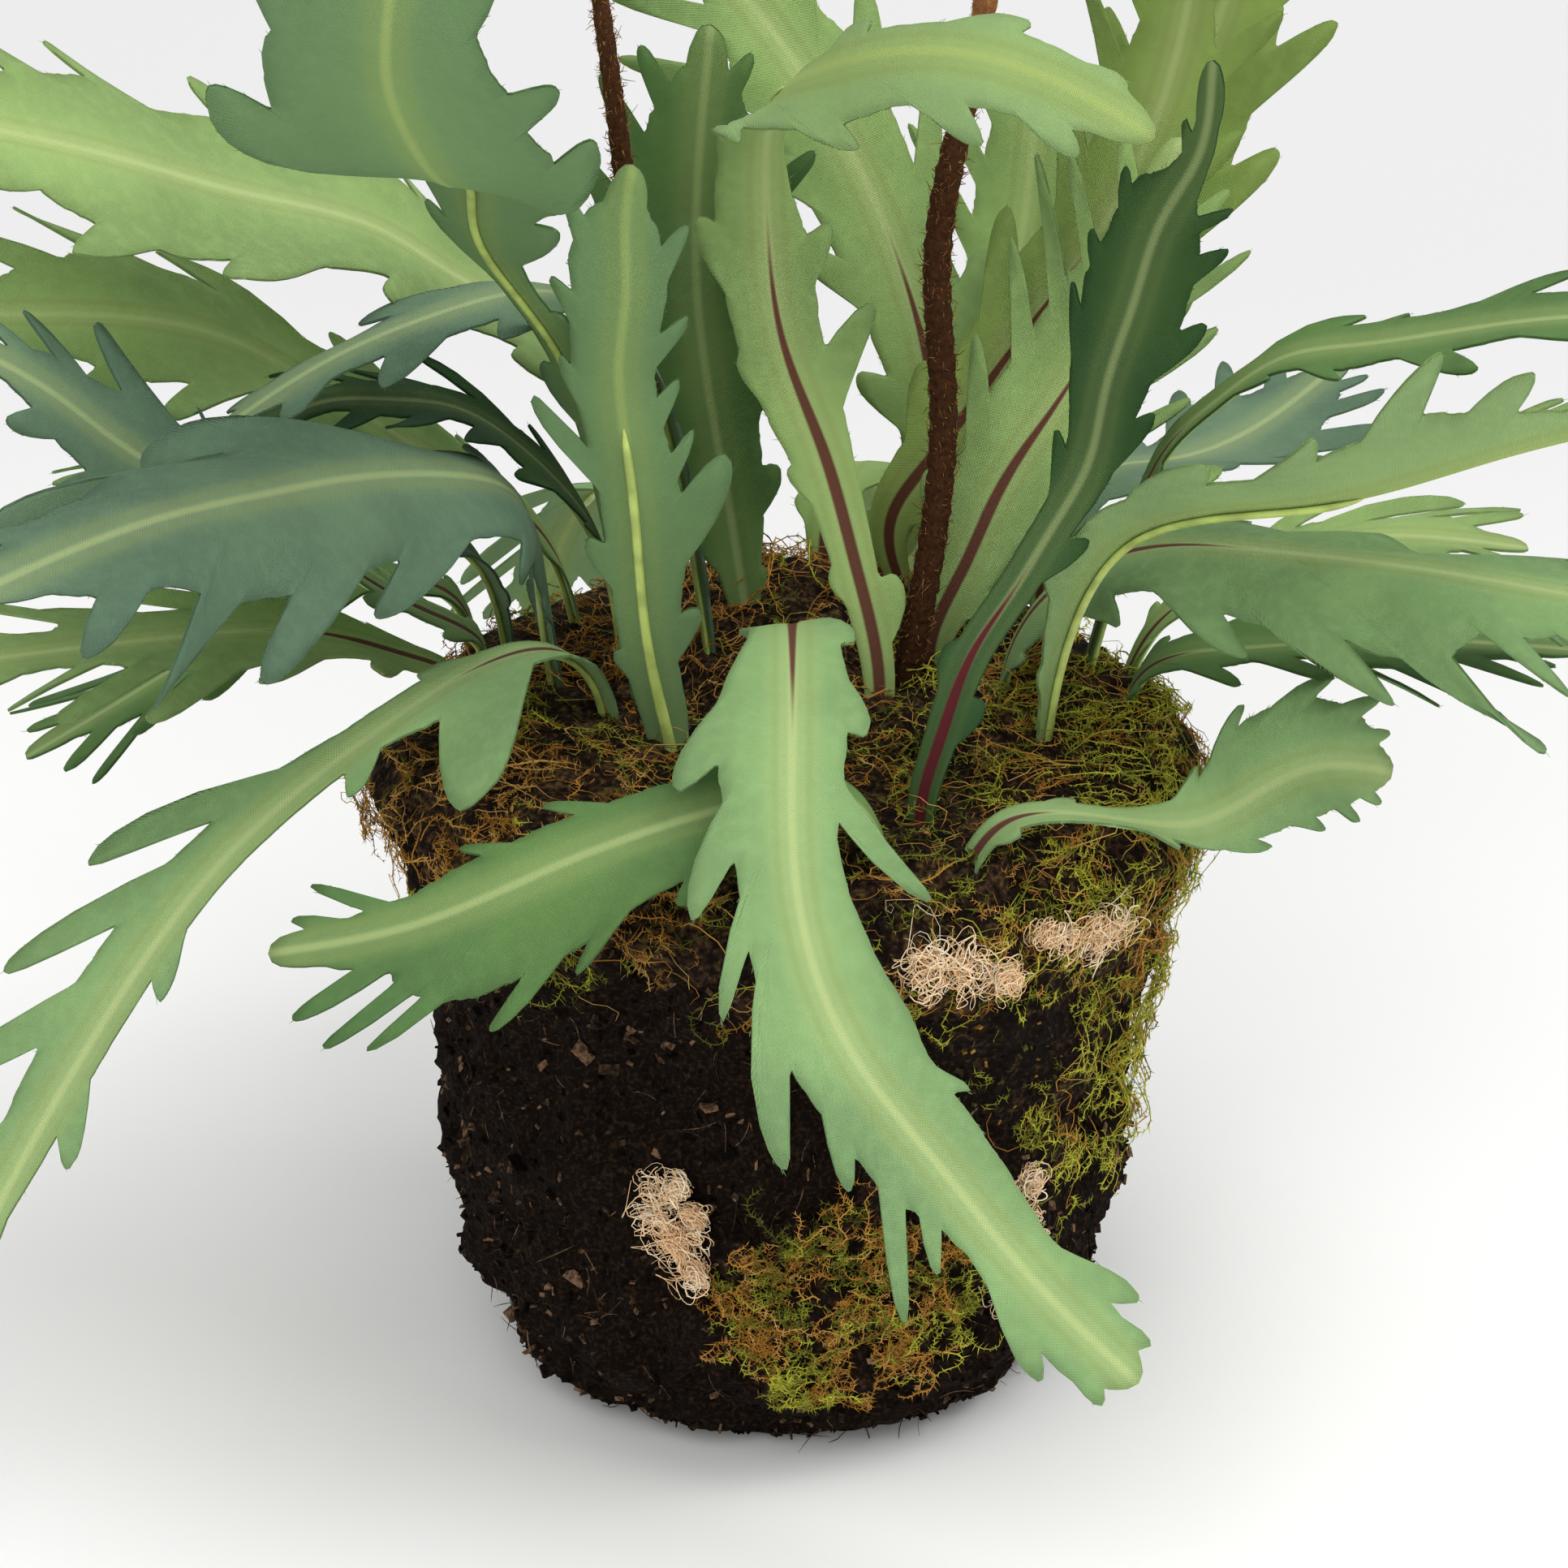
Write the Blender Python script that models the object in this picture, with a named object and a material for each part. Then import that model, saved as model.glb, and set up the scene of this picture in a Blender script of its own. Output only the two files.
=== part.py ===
"""Fabric fern standing in a bare, pot-shaped root ball with moss on it.

Each frond is a thin lobed blade with a rib raised along its underside, and its stalk
stands in a hole in the root ball. Two hairy stems stand among the fronds.

Lengths below are millimetres, angles degrees. The finished model is in metres, +Z up,
with the middle of the root ball's foot at the origin and the front facing -Y.
"""
import math
from dataclasses import dataclass

import bmesh
import bpy
import numpy as np
from mathutils import Vector
from mathutils.geometry import delaunay_2d_cdt

MM = 0.001

# Root ball: half widths of the side from the foot up, as (height, radius).
BALL_SIDE = [(0, 29), (1.5, 32), (5, 36), (14, 41.5), (28, 43.5), (45, 44.5), (60, 45.5), (68, 47.5),
             (76, 50), (82, 50), (86.5, 46)]
BALL_TOP = 89.0
BALL_MOUND = 5.0
BALL_MOUND_AT = (2.0, 28.0)
BALL_MOUND_SPREAD = 17.0
BALL_LUMP = 1.6
BALL_SEGMENTS = 36
BALL_STEPS = [0, .1, .2, .3, .4, .5, .6, .7, .8, .9, 1, 1.3, 1.6, 1.85]

# Moss: how far it hangs down the side, as (bearing, lowest height), and how thick it lies.
MOSS_HEM = [(-180, 74), (-150, 76), (-120, 73), (-90, 71), (-70, 66), (-55, 47), (-40, 34), (-20, 40),
            (0, 46), (30, 58), (60, 64), (90, 66), (135, 70), (180, 74)]
MOSS_GAP = 0.3
MOSS_THICK = 2.6
MOSS_LUMP = 1.3
PATCH_MIDDLE = (-80.0, 28.0)
PATCH_HALF = (21.0, 15.0)
PATCH_GAP = 1.3
PATCH_RINGS = 5
PATCH_COLUMNS = 20

# Tan fibre tufts: name, bearings and heights it runs between, loops, their half width and the lift.
FIBRE_RADIUS = 0.45
TUFT_RISE = 0.9
TUFTS = [
    ("tan_fibre_front", (-109, -106), (45, 31), 4, 3.4, 1.6),
    ("tan_fibre_right", (-51, -53), (42, 24), 4, 2.6, 1.2),
    ("tan_fibre_rim", (-73, -40), (79, 75), 5, 3.6, 3.4),
]

# Fronds.
BLADE_THICK = 0.6
BLADE_LEAST = 1.4
RIB_HALF_WIDTH = 0.9
RIB_DEPTH = 1.0
RIB_END = 0.68
RIB_POINTS = 9
NOMINAL_LENGTH = 160.0
STALK_HALF = 2.1
STALK_MOST = 3.5
HOLE_TOP = 96.0
HOLE_SPARE = 0.7
HOLE_SIDES = 6

# Hairy stems: name, route, radius, coil radius and the bearing that the coil winds towards.
STEM_SIDES = 7
STEM_STRAIGHT = 60
STEM_TURNS = 1.35
STEMS = [
    ("right_hairy_stem", [(14, 8, 82), (17, 4, 100), (20, 6, 128), (19, 4, 150), (23, 2, 175), (26, 0, 200),
                          (27, 0, 215)], 1.9, 5.5, 200),
    ("left_hairy_stem", [(-16, 7, 82), (-17, 5, 110), (-18, 1, 141), (-20, -4, 168), (-22, -7, 187),
                         (-25, -9, 212)], 1.5, 4.6, 330),
]


@dataclass
class Cut:
    """Leaf shape: half width of the web and the lobes on each side.

    Web: (share of the rib, mm along the lean). Lobe: (share of the rib, reach in mm
    along the lean, half width as a share of the rib).
    """
    tip: float
    web_left: list
    web_right: list
    left: list
    right: list


@dataclass
class Frond:
    """One frond: its leaf shape, the route of its rib and how its blade is turned.

    bearing: compass direction the frond points in, seen from above.
    roll: (share of the length, degrees) that the blade is turned about its rib.
    fold: degrees that the left and right halves rise from the rib.
    curl: degrees per mm that the left and right halves bend on outward.
    face: in place of bearing and roll, (share, direction) that the top side faces.
    """
    name: str
    cut: Cut
    route: list
    bearing: float
    roll: tuple = ((0, 0), (1, 0))
    fold: tuple = (0, 0)
    curl: tuple = (0, 0)
    face: list = None
    breadth: float = 1.0
    mirrored: bool = False
    seed: int = 0
    edge_points: int = 25


HAND = Cut(
    tip=13,
    web_left=[(0, 2), (.07, 2.6), (.15, 4), (.25, 7), (.34, 11), (.42, 14), (.5, 15), (.6, 15), (.7, 14),
              (.8, 10), (.86, 8), (.92, 10), (1, 8)],
    web_right=[(0, 2), (.07, 2.6), (.15, 4), (.25, 7), (.35, 11), (.45, 12), (.55, 14), (.65, 14),
               (.75, 11), (.83, 7.5), (.9, 10), (1, 8)],
    left=[(.14, 6, .025), (.27, 15, .035), (.4, 24, .034), (.53, 30, .042), (.66, 33, .036),
          (.79, 26, .03), (.93, 17, .03)],
    right=[(.2, 9, .03), (.33, 19, .035), (.46, 27, .034), (.6, 25, .045), (.74, 26, .032),
           (.9, 18, .032)],
)
FAN = Cut(
    tip=14,
    web_left=[(0, 2), (.07, 2.8), (.15, 5), (.25, 9), (.4, 14), (.55, 18), (.7, 19), (.85, 15), (1, 9)],
    web_right=[(0, 2), (.07, 2.8), (.15, 5), (.25, 9), (.4, 14), (.55, 18), (.7, 19), (.85, 15), (1, 9)],
    left=[(.16, 7.5, .03), (.3, 17, .04), (.45, 26, .048), (.6, 32, .054), (.75, 31, .046),
          (.89, 22, .036)],
    right=[(.12, 5.5, .025), (.24, 13, .04), (.38, 22, .048), (.52, 30, .054), (.68, 33, .05),
           (.82, 26, .04), (.94, 17, .028)],
)
LONG = Cut(
    tip=14,
    web_left=[(0, 2), (.07, 2.6), (.15, 4), (.25, 6), (.4, 9), (.55, 12), (.7, 13), (.85, 12), (1, 9)],
    web_right=[(0, 2), (.07, 2.6), (.15, 4), (.25, 6), (.4, 9), (.55, 12), (.7, 13), (.85, 12), (1, 9)],
    left=[(.2, 9, .03), (.34, 18, .036), (.48, 27, .044), (.62, 31, .044), (.76, 30, .04),
          (.9, 20, .034)],
    right=[(.14, 6, .025), (.27, 13, .034), (.41, 22, .042), (.55, 30, .044), (.69, 32, .044),
           (.83, 25, .038), (.94, 16, .028)],
)
ARCH = Cut(
    tip=12,
    web_left=[(0, 2), (.1, 3), (.2, 5), (.28, 8), (.33, 14), (.4, 15), (.47, 13), (.54, 13), (.6, 14),
              (.7, 13), (.76, 13), (.81, 9), (.86, 8), (.9, 11), (.95, 14), (1, 12)],
    web_right=[(0, 2), (.1, 3), (.2, 5), (.28, 8), (.34, 11), (.42, 11), (.48, 10), (.55, 14), (.62, 16),
               (.7, 13), (.77, 12), (.83, 11), (.88, 10), (.92, 12), (1, 12)],
    left=[(.22, 9, .03), (.36, 23, .034), (.45, 24, .03), (.525, 23, .02), (.595, 28, .034),
          (.69, 19, .026), (.757, 28, .02), (.81, 16, .018), (.905, 18, .028), (.965, 16, .022)],
    right=[(.27, 11, .03), (.35, 15, .03), (.44, 29, .02), (.71, 16, .02), (.92, 18, .03),
           (.97, 15, .02)],
)
FINGERS = Cut(
    tip=12,
    web_left=[(0, 2), (.1, 3), (.2, 5), (.3, 8), (.4, 13), (.5, 19), (.62, 20), (.68, 20), (.75, 19),
              (.82, 15), (.88, 10), (1, 8)],
    web_right=[(0, 2), (.1, 3), (.2, 4), (.3, 6), (.45, 9), (.62, 10), (.75, 9), (.85, 7), (1, 7)],
    left=[(.39, 19, .035), (.5, 26, .036), (.6, 29, .036), (.755, 27, .024), (.815, 26, .028),
          (.9, 20, .03)],
    right=[(.36, 12, .03), (.54, 15, .026), (.68, 14, .03), (.9, 16, .02), (.965, 12, .018)],
)
TALL = Cut(
    tip=12,
    web_left=[(0, 2), (.06, 3.4), (.12, 4), (.25, 5.4), (.35, 6.6), (.45, 8), (.55, 9), (.65, 11),
              (.75, 13), (.85, 15), (.93, 12), (1, 8)],
    web_right=[(0, 2), (.06, 3), (.12, 4.2), (.22, 5), (.3, 8), (.38, 12), (.47, 12), (.57, 10), (.65, 9),
               (.75, 9), (.85, 11), (.93, 10), (1, 8)],
    left=[(.22, 7, .03), (.38, 12, .04), (.54, 22, .035), (.66, 15, .035), (.77, 19, .036), (.9, 17, .03)],
    right=[(.25, 11, .04), (.405, 24, .06), (.51, 17, .03), (.62, 15, .036), (.74, 16, .036),
           (.87, 17, .034)],
)
STRAP = Cut(
    tip=12,
    web_left=[(0, 2), (.1, 2.6), (.2, 3.2), (.3, 3.8), (.4, 4.4), (.49, 5), (.56, 10), (.64, 11), (.72, 9),
              (.8, 11), (.9, 11), (1, 9)],
    web_right=[(0, 2), (.1, 2.6), (.2, 3.2), (.3, 3.8), (.4, 4.4), (.48, 5), (.54, 8), (.62, 10), (.7, 8),
               (.8, 10), (.9, 10), (1, 9)],
    left=[(.2, 5, .03), (.53, 15, .036), (.62, 13.5, .018), (.79, 20, .03), (.92, 16, .03)],
    right=[(.13, 4.2, .02), (.3, 6, .025), (.5, 11, .026), (.59, 14, .026), (.74, 19, .034),
           (.88, 17, .032)],
)
SPEAR = Cut(
    tip=10,
    web_left=[(0, 2), (.1, 2.4), (.3, 4), (.45, 5), (.52, 7), (.58, 11), (.66, 13), (.74, 11), (.82, 10),
              (.88, 6), (.93, 4.5), (1, 5)],
    web_right=[(0, 2), (.1, 2.4), (.3, 4), (.45, 5), (.52, 7), (.58, 10), (.66, 12), (.74, 12), (.82, 9),
               (.88, 5), (.93, 4), (1, 5)],
    left=[(.25, 5.5, .03), (.48, 11, .026), (.6, 17, .03), (.7, 15, .026), (.79, 14, .02), (.94, 8, .016)],
    right=[(.2, 6, .03), (.4, 9, .03), (.53, 13, .03), (.63, 18, .036), (.74, 17, .03), (.83, 13, .02)],
)
TWIST = Cut(
    tip=13,
    web_left=[(0, 2), (.07, 2.6), (.15, 3.4), (.22, 5), (.3, 8), (.38, 10), (.46, 12), (.52, 11), (.6, 14),
              (.7, 14), (.8, 12), (.93, 12), (1, 10)],
    web_right=[(0, 2), (.07, 2.6), (.15, 3.2), (.24, 4.5), (.3, 7), (.38, 9), (.44, 9), (.5, 6), (.56, 4),
               (.66, 4), (.8, 6), (.93, 9), (1, 10)],
    left=[(.15, 5, .02), (.24, 7.5, .022), (.33, 10, .03), (.42, 16, .036), (.58, 19, .034),
          (.69, 20, .03), (.83, 20, .034), (.93, 17, .03)],
    right=[(.12, 6.5, .03), (.31, 19, .026), (.42, 14, .03), (.76, 9, .03), (.88, 12, .03), (.965, 12, .02)],
)

PADDLE = Cut(
    tip=13,
    web_left=[(0, 2), (.1, 3), (.25, 4), (.4, 5), (.52, 7), (.6, 13), (.7, 20), (.8, 20), (.9, 16), (1, 11)],
    web_right=[(0, 2), (.1, 3), (.25, 4), (.4, 4.5), (.52, 6), (.6, 9), (.7, 12), (.8, 14), (.9, 13),
               (1, 11)],
    left=[(.3, 7, .03), (.56, 15, .03), (.655, 24, .036), (.765, 26, .04), (.87, 22, .036), (.95, 16, .026)],
    right=[(.2, 6, .03), (.46, 9, .03), (.64, 15, .036), (.76, 18, .036), (.88, 18, .032), (.96, 15, .022)],
)
BROAD = Cut(
    tip=15,
    web_left=[(0, 2), (.08, 3), (.16, 5), (.26, 9), (.36, 14), (.48, 20), (.6, 24), (.75, 24), (.88, 18),
              (1, 11)],
    web_right=[(0, 2), (.08, 3), (.16, 5), (.26, 9), (.36, 14), (.48, 20), (.6, 24), (.75, 24), (.88, 18),
               (1, 11)],
    left=[(.16, 8, .03), (.3, 18, .045), (.45, 29, .055), (.61, 34, .06), (.77, 32, .05), (.91, 22, .036)],
    right=[(.12, 6, .025), (.23, 13, .04), (.37, 24, .052), (.53, 33, .06), (.69, 34, .055), (.84, 27, .044),
           (.95, 18, .026)],
)
BANNER = Cut(
    tip=15,
    web_left=[(0, 2), (.1, 2.6), (.25, 3.4), (.42, 4.5), (.5, 9), (.58, 18), (.68, 24), (.8, 24), (.9, 18),
              (1, 11)],
    web_right=[(0, 2), (.1, 2.6), (.25, 3.4), (.42, 4.5), (.5, 9), (.58, 18), (.68, 24), (.8, 24),
               (.9, 18), (1, 11)],
    left=[(.2, 5, .025), (.37, 8, .03), (.5, 18, .04), (.63, 32, .05), (.78, 32, .045), (.92, 22, .034)],
    right=[(.3, 7, .03), (.46, 13, .03), (.57, 28, .045), (.71, 34, .05), (.86, 27, .04), (.96, 17, .024)],
)
SWEEP = Cut(
    tip=12,
    web_left=[(0, 2), (.1, 2.6), (.2, 6), (.32, 7), (.4, 4), (.6, 3.5), (.8, 4), (1, 5)],
    web_right=[(0, 2), (.1, 2.6), (.25, 3.5), (.4, 5), (.48, 8), (.6, 9), (.75, 9), (.9, 8), (1, 6)],
    left=[(.265, 26, .055), (.42, 9, .025), (.7, 8, .03), (.86, 10, .03)],
    right=[(.28, 6, .03), (.49, 25, .036), (.62, 25, .04), (.76, 22, .036), (.9, 16, .03)],
)

# Waypoints of each rib from its root out, chosen by eye on the photo.
FRONDS = [
    Frond("front_arch_frond", ARCH, [(2, -10, 80), (1, -30, 115), (1, -50, 110), (2, -66, 94), (8, -74, 80),
          (18, -79, 68), (27, -82, 57), (42, -86, 42)], bearing=285, curl=(-.6, -.6), mirrored=True,
          breadth=1, seed=1, edge_points=40),
    Frond("front_left_low_frond", FINGERS, [(15, -39, 80), (8, -43, 98), (-8, -52, 101), (-26, -58, 97),
          (-43, -64, 92), (-61, -66, 89)], bearing=200, roll=((0, 0), (.3, 30), (1, 35)), breadth=1.25,
          seed=2),
    Frond("front_right_low_frond", PADDLE, [(20, -40, 80), (28, -42, 95), (40, -40, 94), (54, -27, 88),
          (66, -16, 89), (77, -9, 85)], bearing=10, roll=((0, -20), (.4, 0), (.6, -50), (1, -60)), seed=3),
    Frond("left_sweep_frond", SWEEP, [(-22, -3, 82), (-23, -4, 94), (-28, -9, 102), (-37, -17, 104),
          (-48, -27, 101), (-70, -50, 90), (-81, -62, 78), (-93, -74, 60), (-99, -80, 49)], bearing=215,
          roll=((0, 0), (.3, -5), (.5, 15), (1, 25)), breadth=1.3, seed=4),
    Frond("centre_left_tall_frond", TALL, [(-13, -9, 82), (-15, -10, 93), (-17, -12, 105), (-18, -14, 118),
          (-19, -16, 131), (-20, -17, 144), (-19, -18, 154), (-19, -18, 163), (-18, -18, 170)], bearing=270,
          breadth=1.1, mirrored=True, seed=5),
    Frond("centre_twist_frond", TWIST, [(12, 0, 84), (12, 0, 95), (9, 2, 109), (5, 5, 123), (0, 6, 137),
          (-2, 5, 153), (-2, 0, 166), (0, -7, 175), (4, -14, 180), (11, -22, 185), (20, -27, 187),
          (28, -30, 186), (34, -32, 184), (43, -34, 179)], bearing=80, face=[(0, (.2, -1, .2)),
          (.44, (0, -1, .1)), (.52, (.2, -.8, -.6)), (.58, (.2, -.1, -1)), (.64, (0, .6, -.8)),
          (.72, (0, .8, -.6)), (1, (.1, .85, -.4))], seed=6),
    Frond("right_dark_tall_frond", SPEAR, [(17, -32, 80), (17, -32, 93), (19, -31, 100), (23, -27, 110),
          (28, -22, 116), (33, -18, 123), (37, -16, 130), (39, -16, 140), (42, -18, 152), (45, -21, 164),
          (49, -25, 174), (50, -27, 186)], bearing=60, curl=(-2, -2), breadth=1.2, seed=7),
    Frond("left_near_frond", FAN, [(-28, 8, 82), (-30, 6, 98), (-31, -1, 114), (-34, -11, 125),
          (-41, -23, 132), (-51, -38, 138), (-60, -52, 142), (-71, -66, 145), (-90, -90, 146)], bearing=205,
          roll=((0, 0), (.4, 20), (1, 20)), curl=(-3, -3.5), breadth=1.3, seed=8),
    Frond("top_left_near_frond", BANNER, [(-17, -1, 84), (-20, -3, 112), (-27, -9, 142), (-36, -25, 164),
          (-36, -40, 176), (-38, -54, 181), (-41, -66, 190), (-43, -76, 201), (-42, -84, 213),
          (-40, -88, 226)], bearing=240, face=[(0, (.6, .8, 0)), (.5, (.5, .8, .4)), (.75, (.2, 1, .3)),
          (1, (.1, 1, .2))], breadth=1, seed=9),
    Frond("upper_left_frond", BROAD, [(-14, 22, 84), (-18, 27, 110), (-30, 26, 131), (-42, 23, 140),
          (-50, 17, 148), (-66, 4, 158), (-80, -8, 167), (-103, -25, 179)], bearing=185, roll=((0, 0),
          (1, 18)), breadth=1.1, seed=10),
    Frond("mid_left_frond", FAN, [(-26, 26, 84), (-31, 24, 103), (-42, 18, 115), (-57, 12, 128),
          (-69, 8, 137), (-86, -1, 144), (-106, -12, 148)], bearing=190, roll=((0, 0), (1, 25)),
          breadth=1.25, seed=11),
    Frond("low_left_red_frond", LONG, [(-40, 18, 82), (-39, 15, 92), (-46, 12, 98), (-58, 6, 109),
          (-69, 1, 119), (-77, -2, 123), (-91, -10, 122)], bearing=190, seed=12),
    Frond("left_cream_frond", FAN, [(-35, 20, 84), (-37, 14, 100), (-43, 4, 112), (-54, -6, 117),
          (-64, -16, 122), (-71, -22, 129), (-80, -27, 138), (-87, -33, 147), (-96, -40, 156)], bearing=190,
          roll=((0, -10), (.4, -10), (.6, 20), (1, 25)), breadth=1, seed=13),
    Frond("left_fingers_frond", HAND, [(-20, 10, 84), (-24, 12, 109), (-32, 9, 121), (-41, 3, 130),
          (-49, -4, 134), (-57, -10, 136), (-69, -19, 131)], bearing=190, breadth=.9, seed=14),
    Frond("left_drooping_frond", FAN, [(-8, 10, 84), (-14, 12, 123), (-20, 9, 139), (-28, 4, 145),
          (-40, -6, 147), (-56, -17, 144), (-70, -25, 137)], bearing=200, curl=(-4, -4), breadth=.65,
          seed=15),
    Frond("left_low_pale_frond", HAND, [(-42, 5, 82), (-42, 3, 93), (-47, 0, 97), (-58, -8, 104),
          (-75, -20, 109), (-105, -38, 113)], bearing=190, breadth=1.35, seed=16),
    Frond("left_low_behind_frond", LONG, [(-40, 26, 84), (-43, 25, 94), (-56, 24, 97), (-66, 22, 94),
          (-78, 18, 88), (-98, 8, 79)], bearing=185, breadth=1.2, seed=17),
    Frond("back_centre_frond", HAND, [(8, 36, 86), (19, 37, 106), (17, 38, 129), (8, 41, 151),
          (-5, 44, 170), (-21, 38, 191)], bearing=90, roll=((0, -20), (1, -20)), breadth=1.2, seed=18),
    Frond("back_right_frond", HAND, [(20, 28, 86), (14, 24, 106), (19, 22, 115), (31, 26, 131),
          (42, 30, 146), (50, 30, 169), (51, 18, 197)], bearing=60, breadth=1.1, seed=19),
    Frond("right_red_rib_frond", HAND, [(19, 13, 84), (19, 12, 94), (23, 12, 104), (28, 14, 115),
          (34, 16, 124), (44, 22, 141), (50, 24, 158)], bearing=70, breadth=1.2, seed=20),
    Frond("top_right_frond", FAN, [(34, 22, 86), (34, 28, 110), (41, 35, 129), (51, 42, 153), (58, 44, 174),
          (63, 40, 192)], bearing=40, roll=((0, 0), (1, -50)), breadth=1, seed=21),
    Frond("right_upper_frond", STRAP, [(38, 12, 86), (44, 15, 108), (48, 12, 120), (54, 5, 130),
          (62, 0, 138), (70, -6, 142), (91, -20, 151), (107, -28, 155)], bearing=0, breadth=1.25, seed=22),
    Frond("right_mid_near_frond", FAN, [(32, -8, 84), (35, -10, 104), (41, -14, 118), (50, -22, 126),
          (64, -32, 132), (84, -50, 146), (102, -64, 157)], bearing=345, roll=((0, 0), (.3, 45), (1, 60)),
          fold=(45, 0), breadth=1.3, seed=23),
    Frond("right_red_low_frond", FAN, [(27, 7, 84), (28, 6, 92), (34, 3, 105), (40, 3, 109), (50, -1, 113),
          (59, -7, 115), (68, -14, 117), (79, -20, 118), (106, -35, 119)], bearing=355, curl=(-3, -4),
          breadth=1.6, seed=24),
    Frond("right_low_behind_frond", LONG, [(43, 17, 82), (48, 18, 93), (59, 24, 98), (73, 28, 101),
          (97, 25, 101)], bearing=0, breadth=1.1, seed=25),
    Frond("right_low_pale_frond", LONG, [(42, 6, 80), (47, 6, 93), (58, 7, 95), (73, 3, 98),
          (101, -9, 102)], bearing=350, breadth=1.3, seed=26),
    Frond("far_right_frond", FAN, [(34, 36, 84), (40, 50, 99), (51, 66, 96), (69, 92, 92), (80, 108, 94)],
          bearing=60, seed=27),
    Frond("back_lobed_frond", LONG, [(22, 40, 86), (25, 47, 105), (31, 60, 127), (34, 66, 156)], bearing=80,
          breadth=1.2, seed=28),
    Frond("back_left_dark_frond", FAN, [(-4, 22, 86), (-7, 23, 107), (-11, 20, 138), (-11, 17, 151),
          (-9, 12, 177)], bearing=80, seed=29),
    Frond("back_low_left_frond", LONG, [(-14, 40, 84), (-17, 45, 95), (-22, 58, 96), (-30, 76, 82),
          (-36, 88, 60)], bearing=110, seed=30),
    Frond("back_low_right_frond", FAN, [(5, 44, 84), (6, 50, 96), (9, 63, 97), (15, 81, 82), (20, 92, 58)],
          bearing=75, seed=31),
]


def natural_spline(points, count):
    """Natural cubic spline through the points, sampled at even steps of its length, and that length."""
    p = np.asarray(points, float)
    t = np.concatenate([[0], np.cumsum(np.linalg.norm(np.diff(p, axis=0), axis=1))])
    h = np.diff(t)
    n = len(p)
    system = np.eye(n)
    rhs = np.zeros((n, 3))
    for i in range(1, n - 1):
        system[i, i - 1:i + 2] = h[i - 1], 2 * (h[i - 1] + h[i]), h[i]
        rhs[i] = 3 * ((p[i + 1] - p[i]) / h[i] - (p[i] - p[i - 1]) / h[i - 1])
    c = np.linalg.solve(system, rhs)

    def at(q):
        k = np.clip(np.searchsorted(t, q, side="right") - 1, 0, n - 2)
        d = (q - t[k])[:, None]
        slope = (p[k + 1] - p[k]) / h[k][:, None] - h[k][:, None] * (2 * c[k] + c[k + 1]) / 3
        cubic = (c[k + 1] - c[k]) / (3 * h[k][:, None])
        return p[k] + d * (slope + d * (c[k] + d * cubic))

    fine = at(np.linspace(0, t[-1], 2000))
    run = np.concatenate([[0], np.cumsum(np.linalg.norm(np.diff(fine, axis=0), axis=1))])
    even = np.interp(np.linspace(0, run[-1], count), run, np.linspace(0, t[-1], 2000))
    return at(even), run[-1]


def unit(v):
    """Vectors scaled to length one."""
    return v / np.maximum(np.linalg.norm(v, axis=-1, keepdims=True), 1e-12)


def lean(share):
    """Angle between a lobe and the rib: 58 near the root, 34 along the blade, none at the tip."""
    s = np.clip(share, 0, 1)
    rise = np.clip(s / 0.5, 0, 1)
    smooth = rise * rise * (3 - 2 * rise)
    return (34 + 24 * (1 - smooth)) * (1 - s ** 12) ** 0.5


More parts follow.
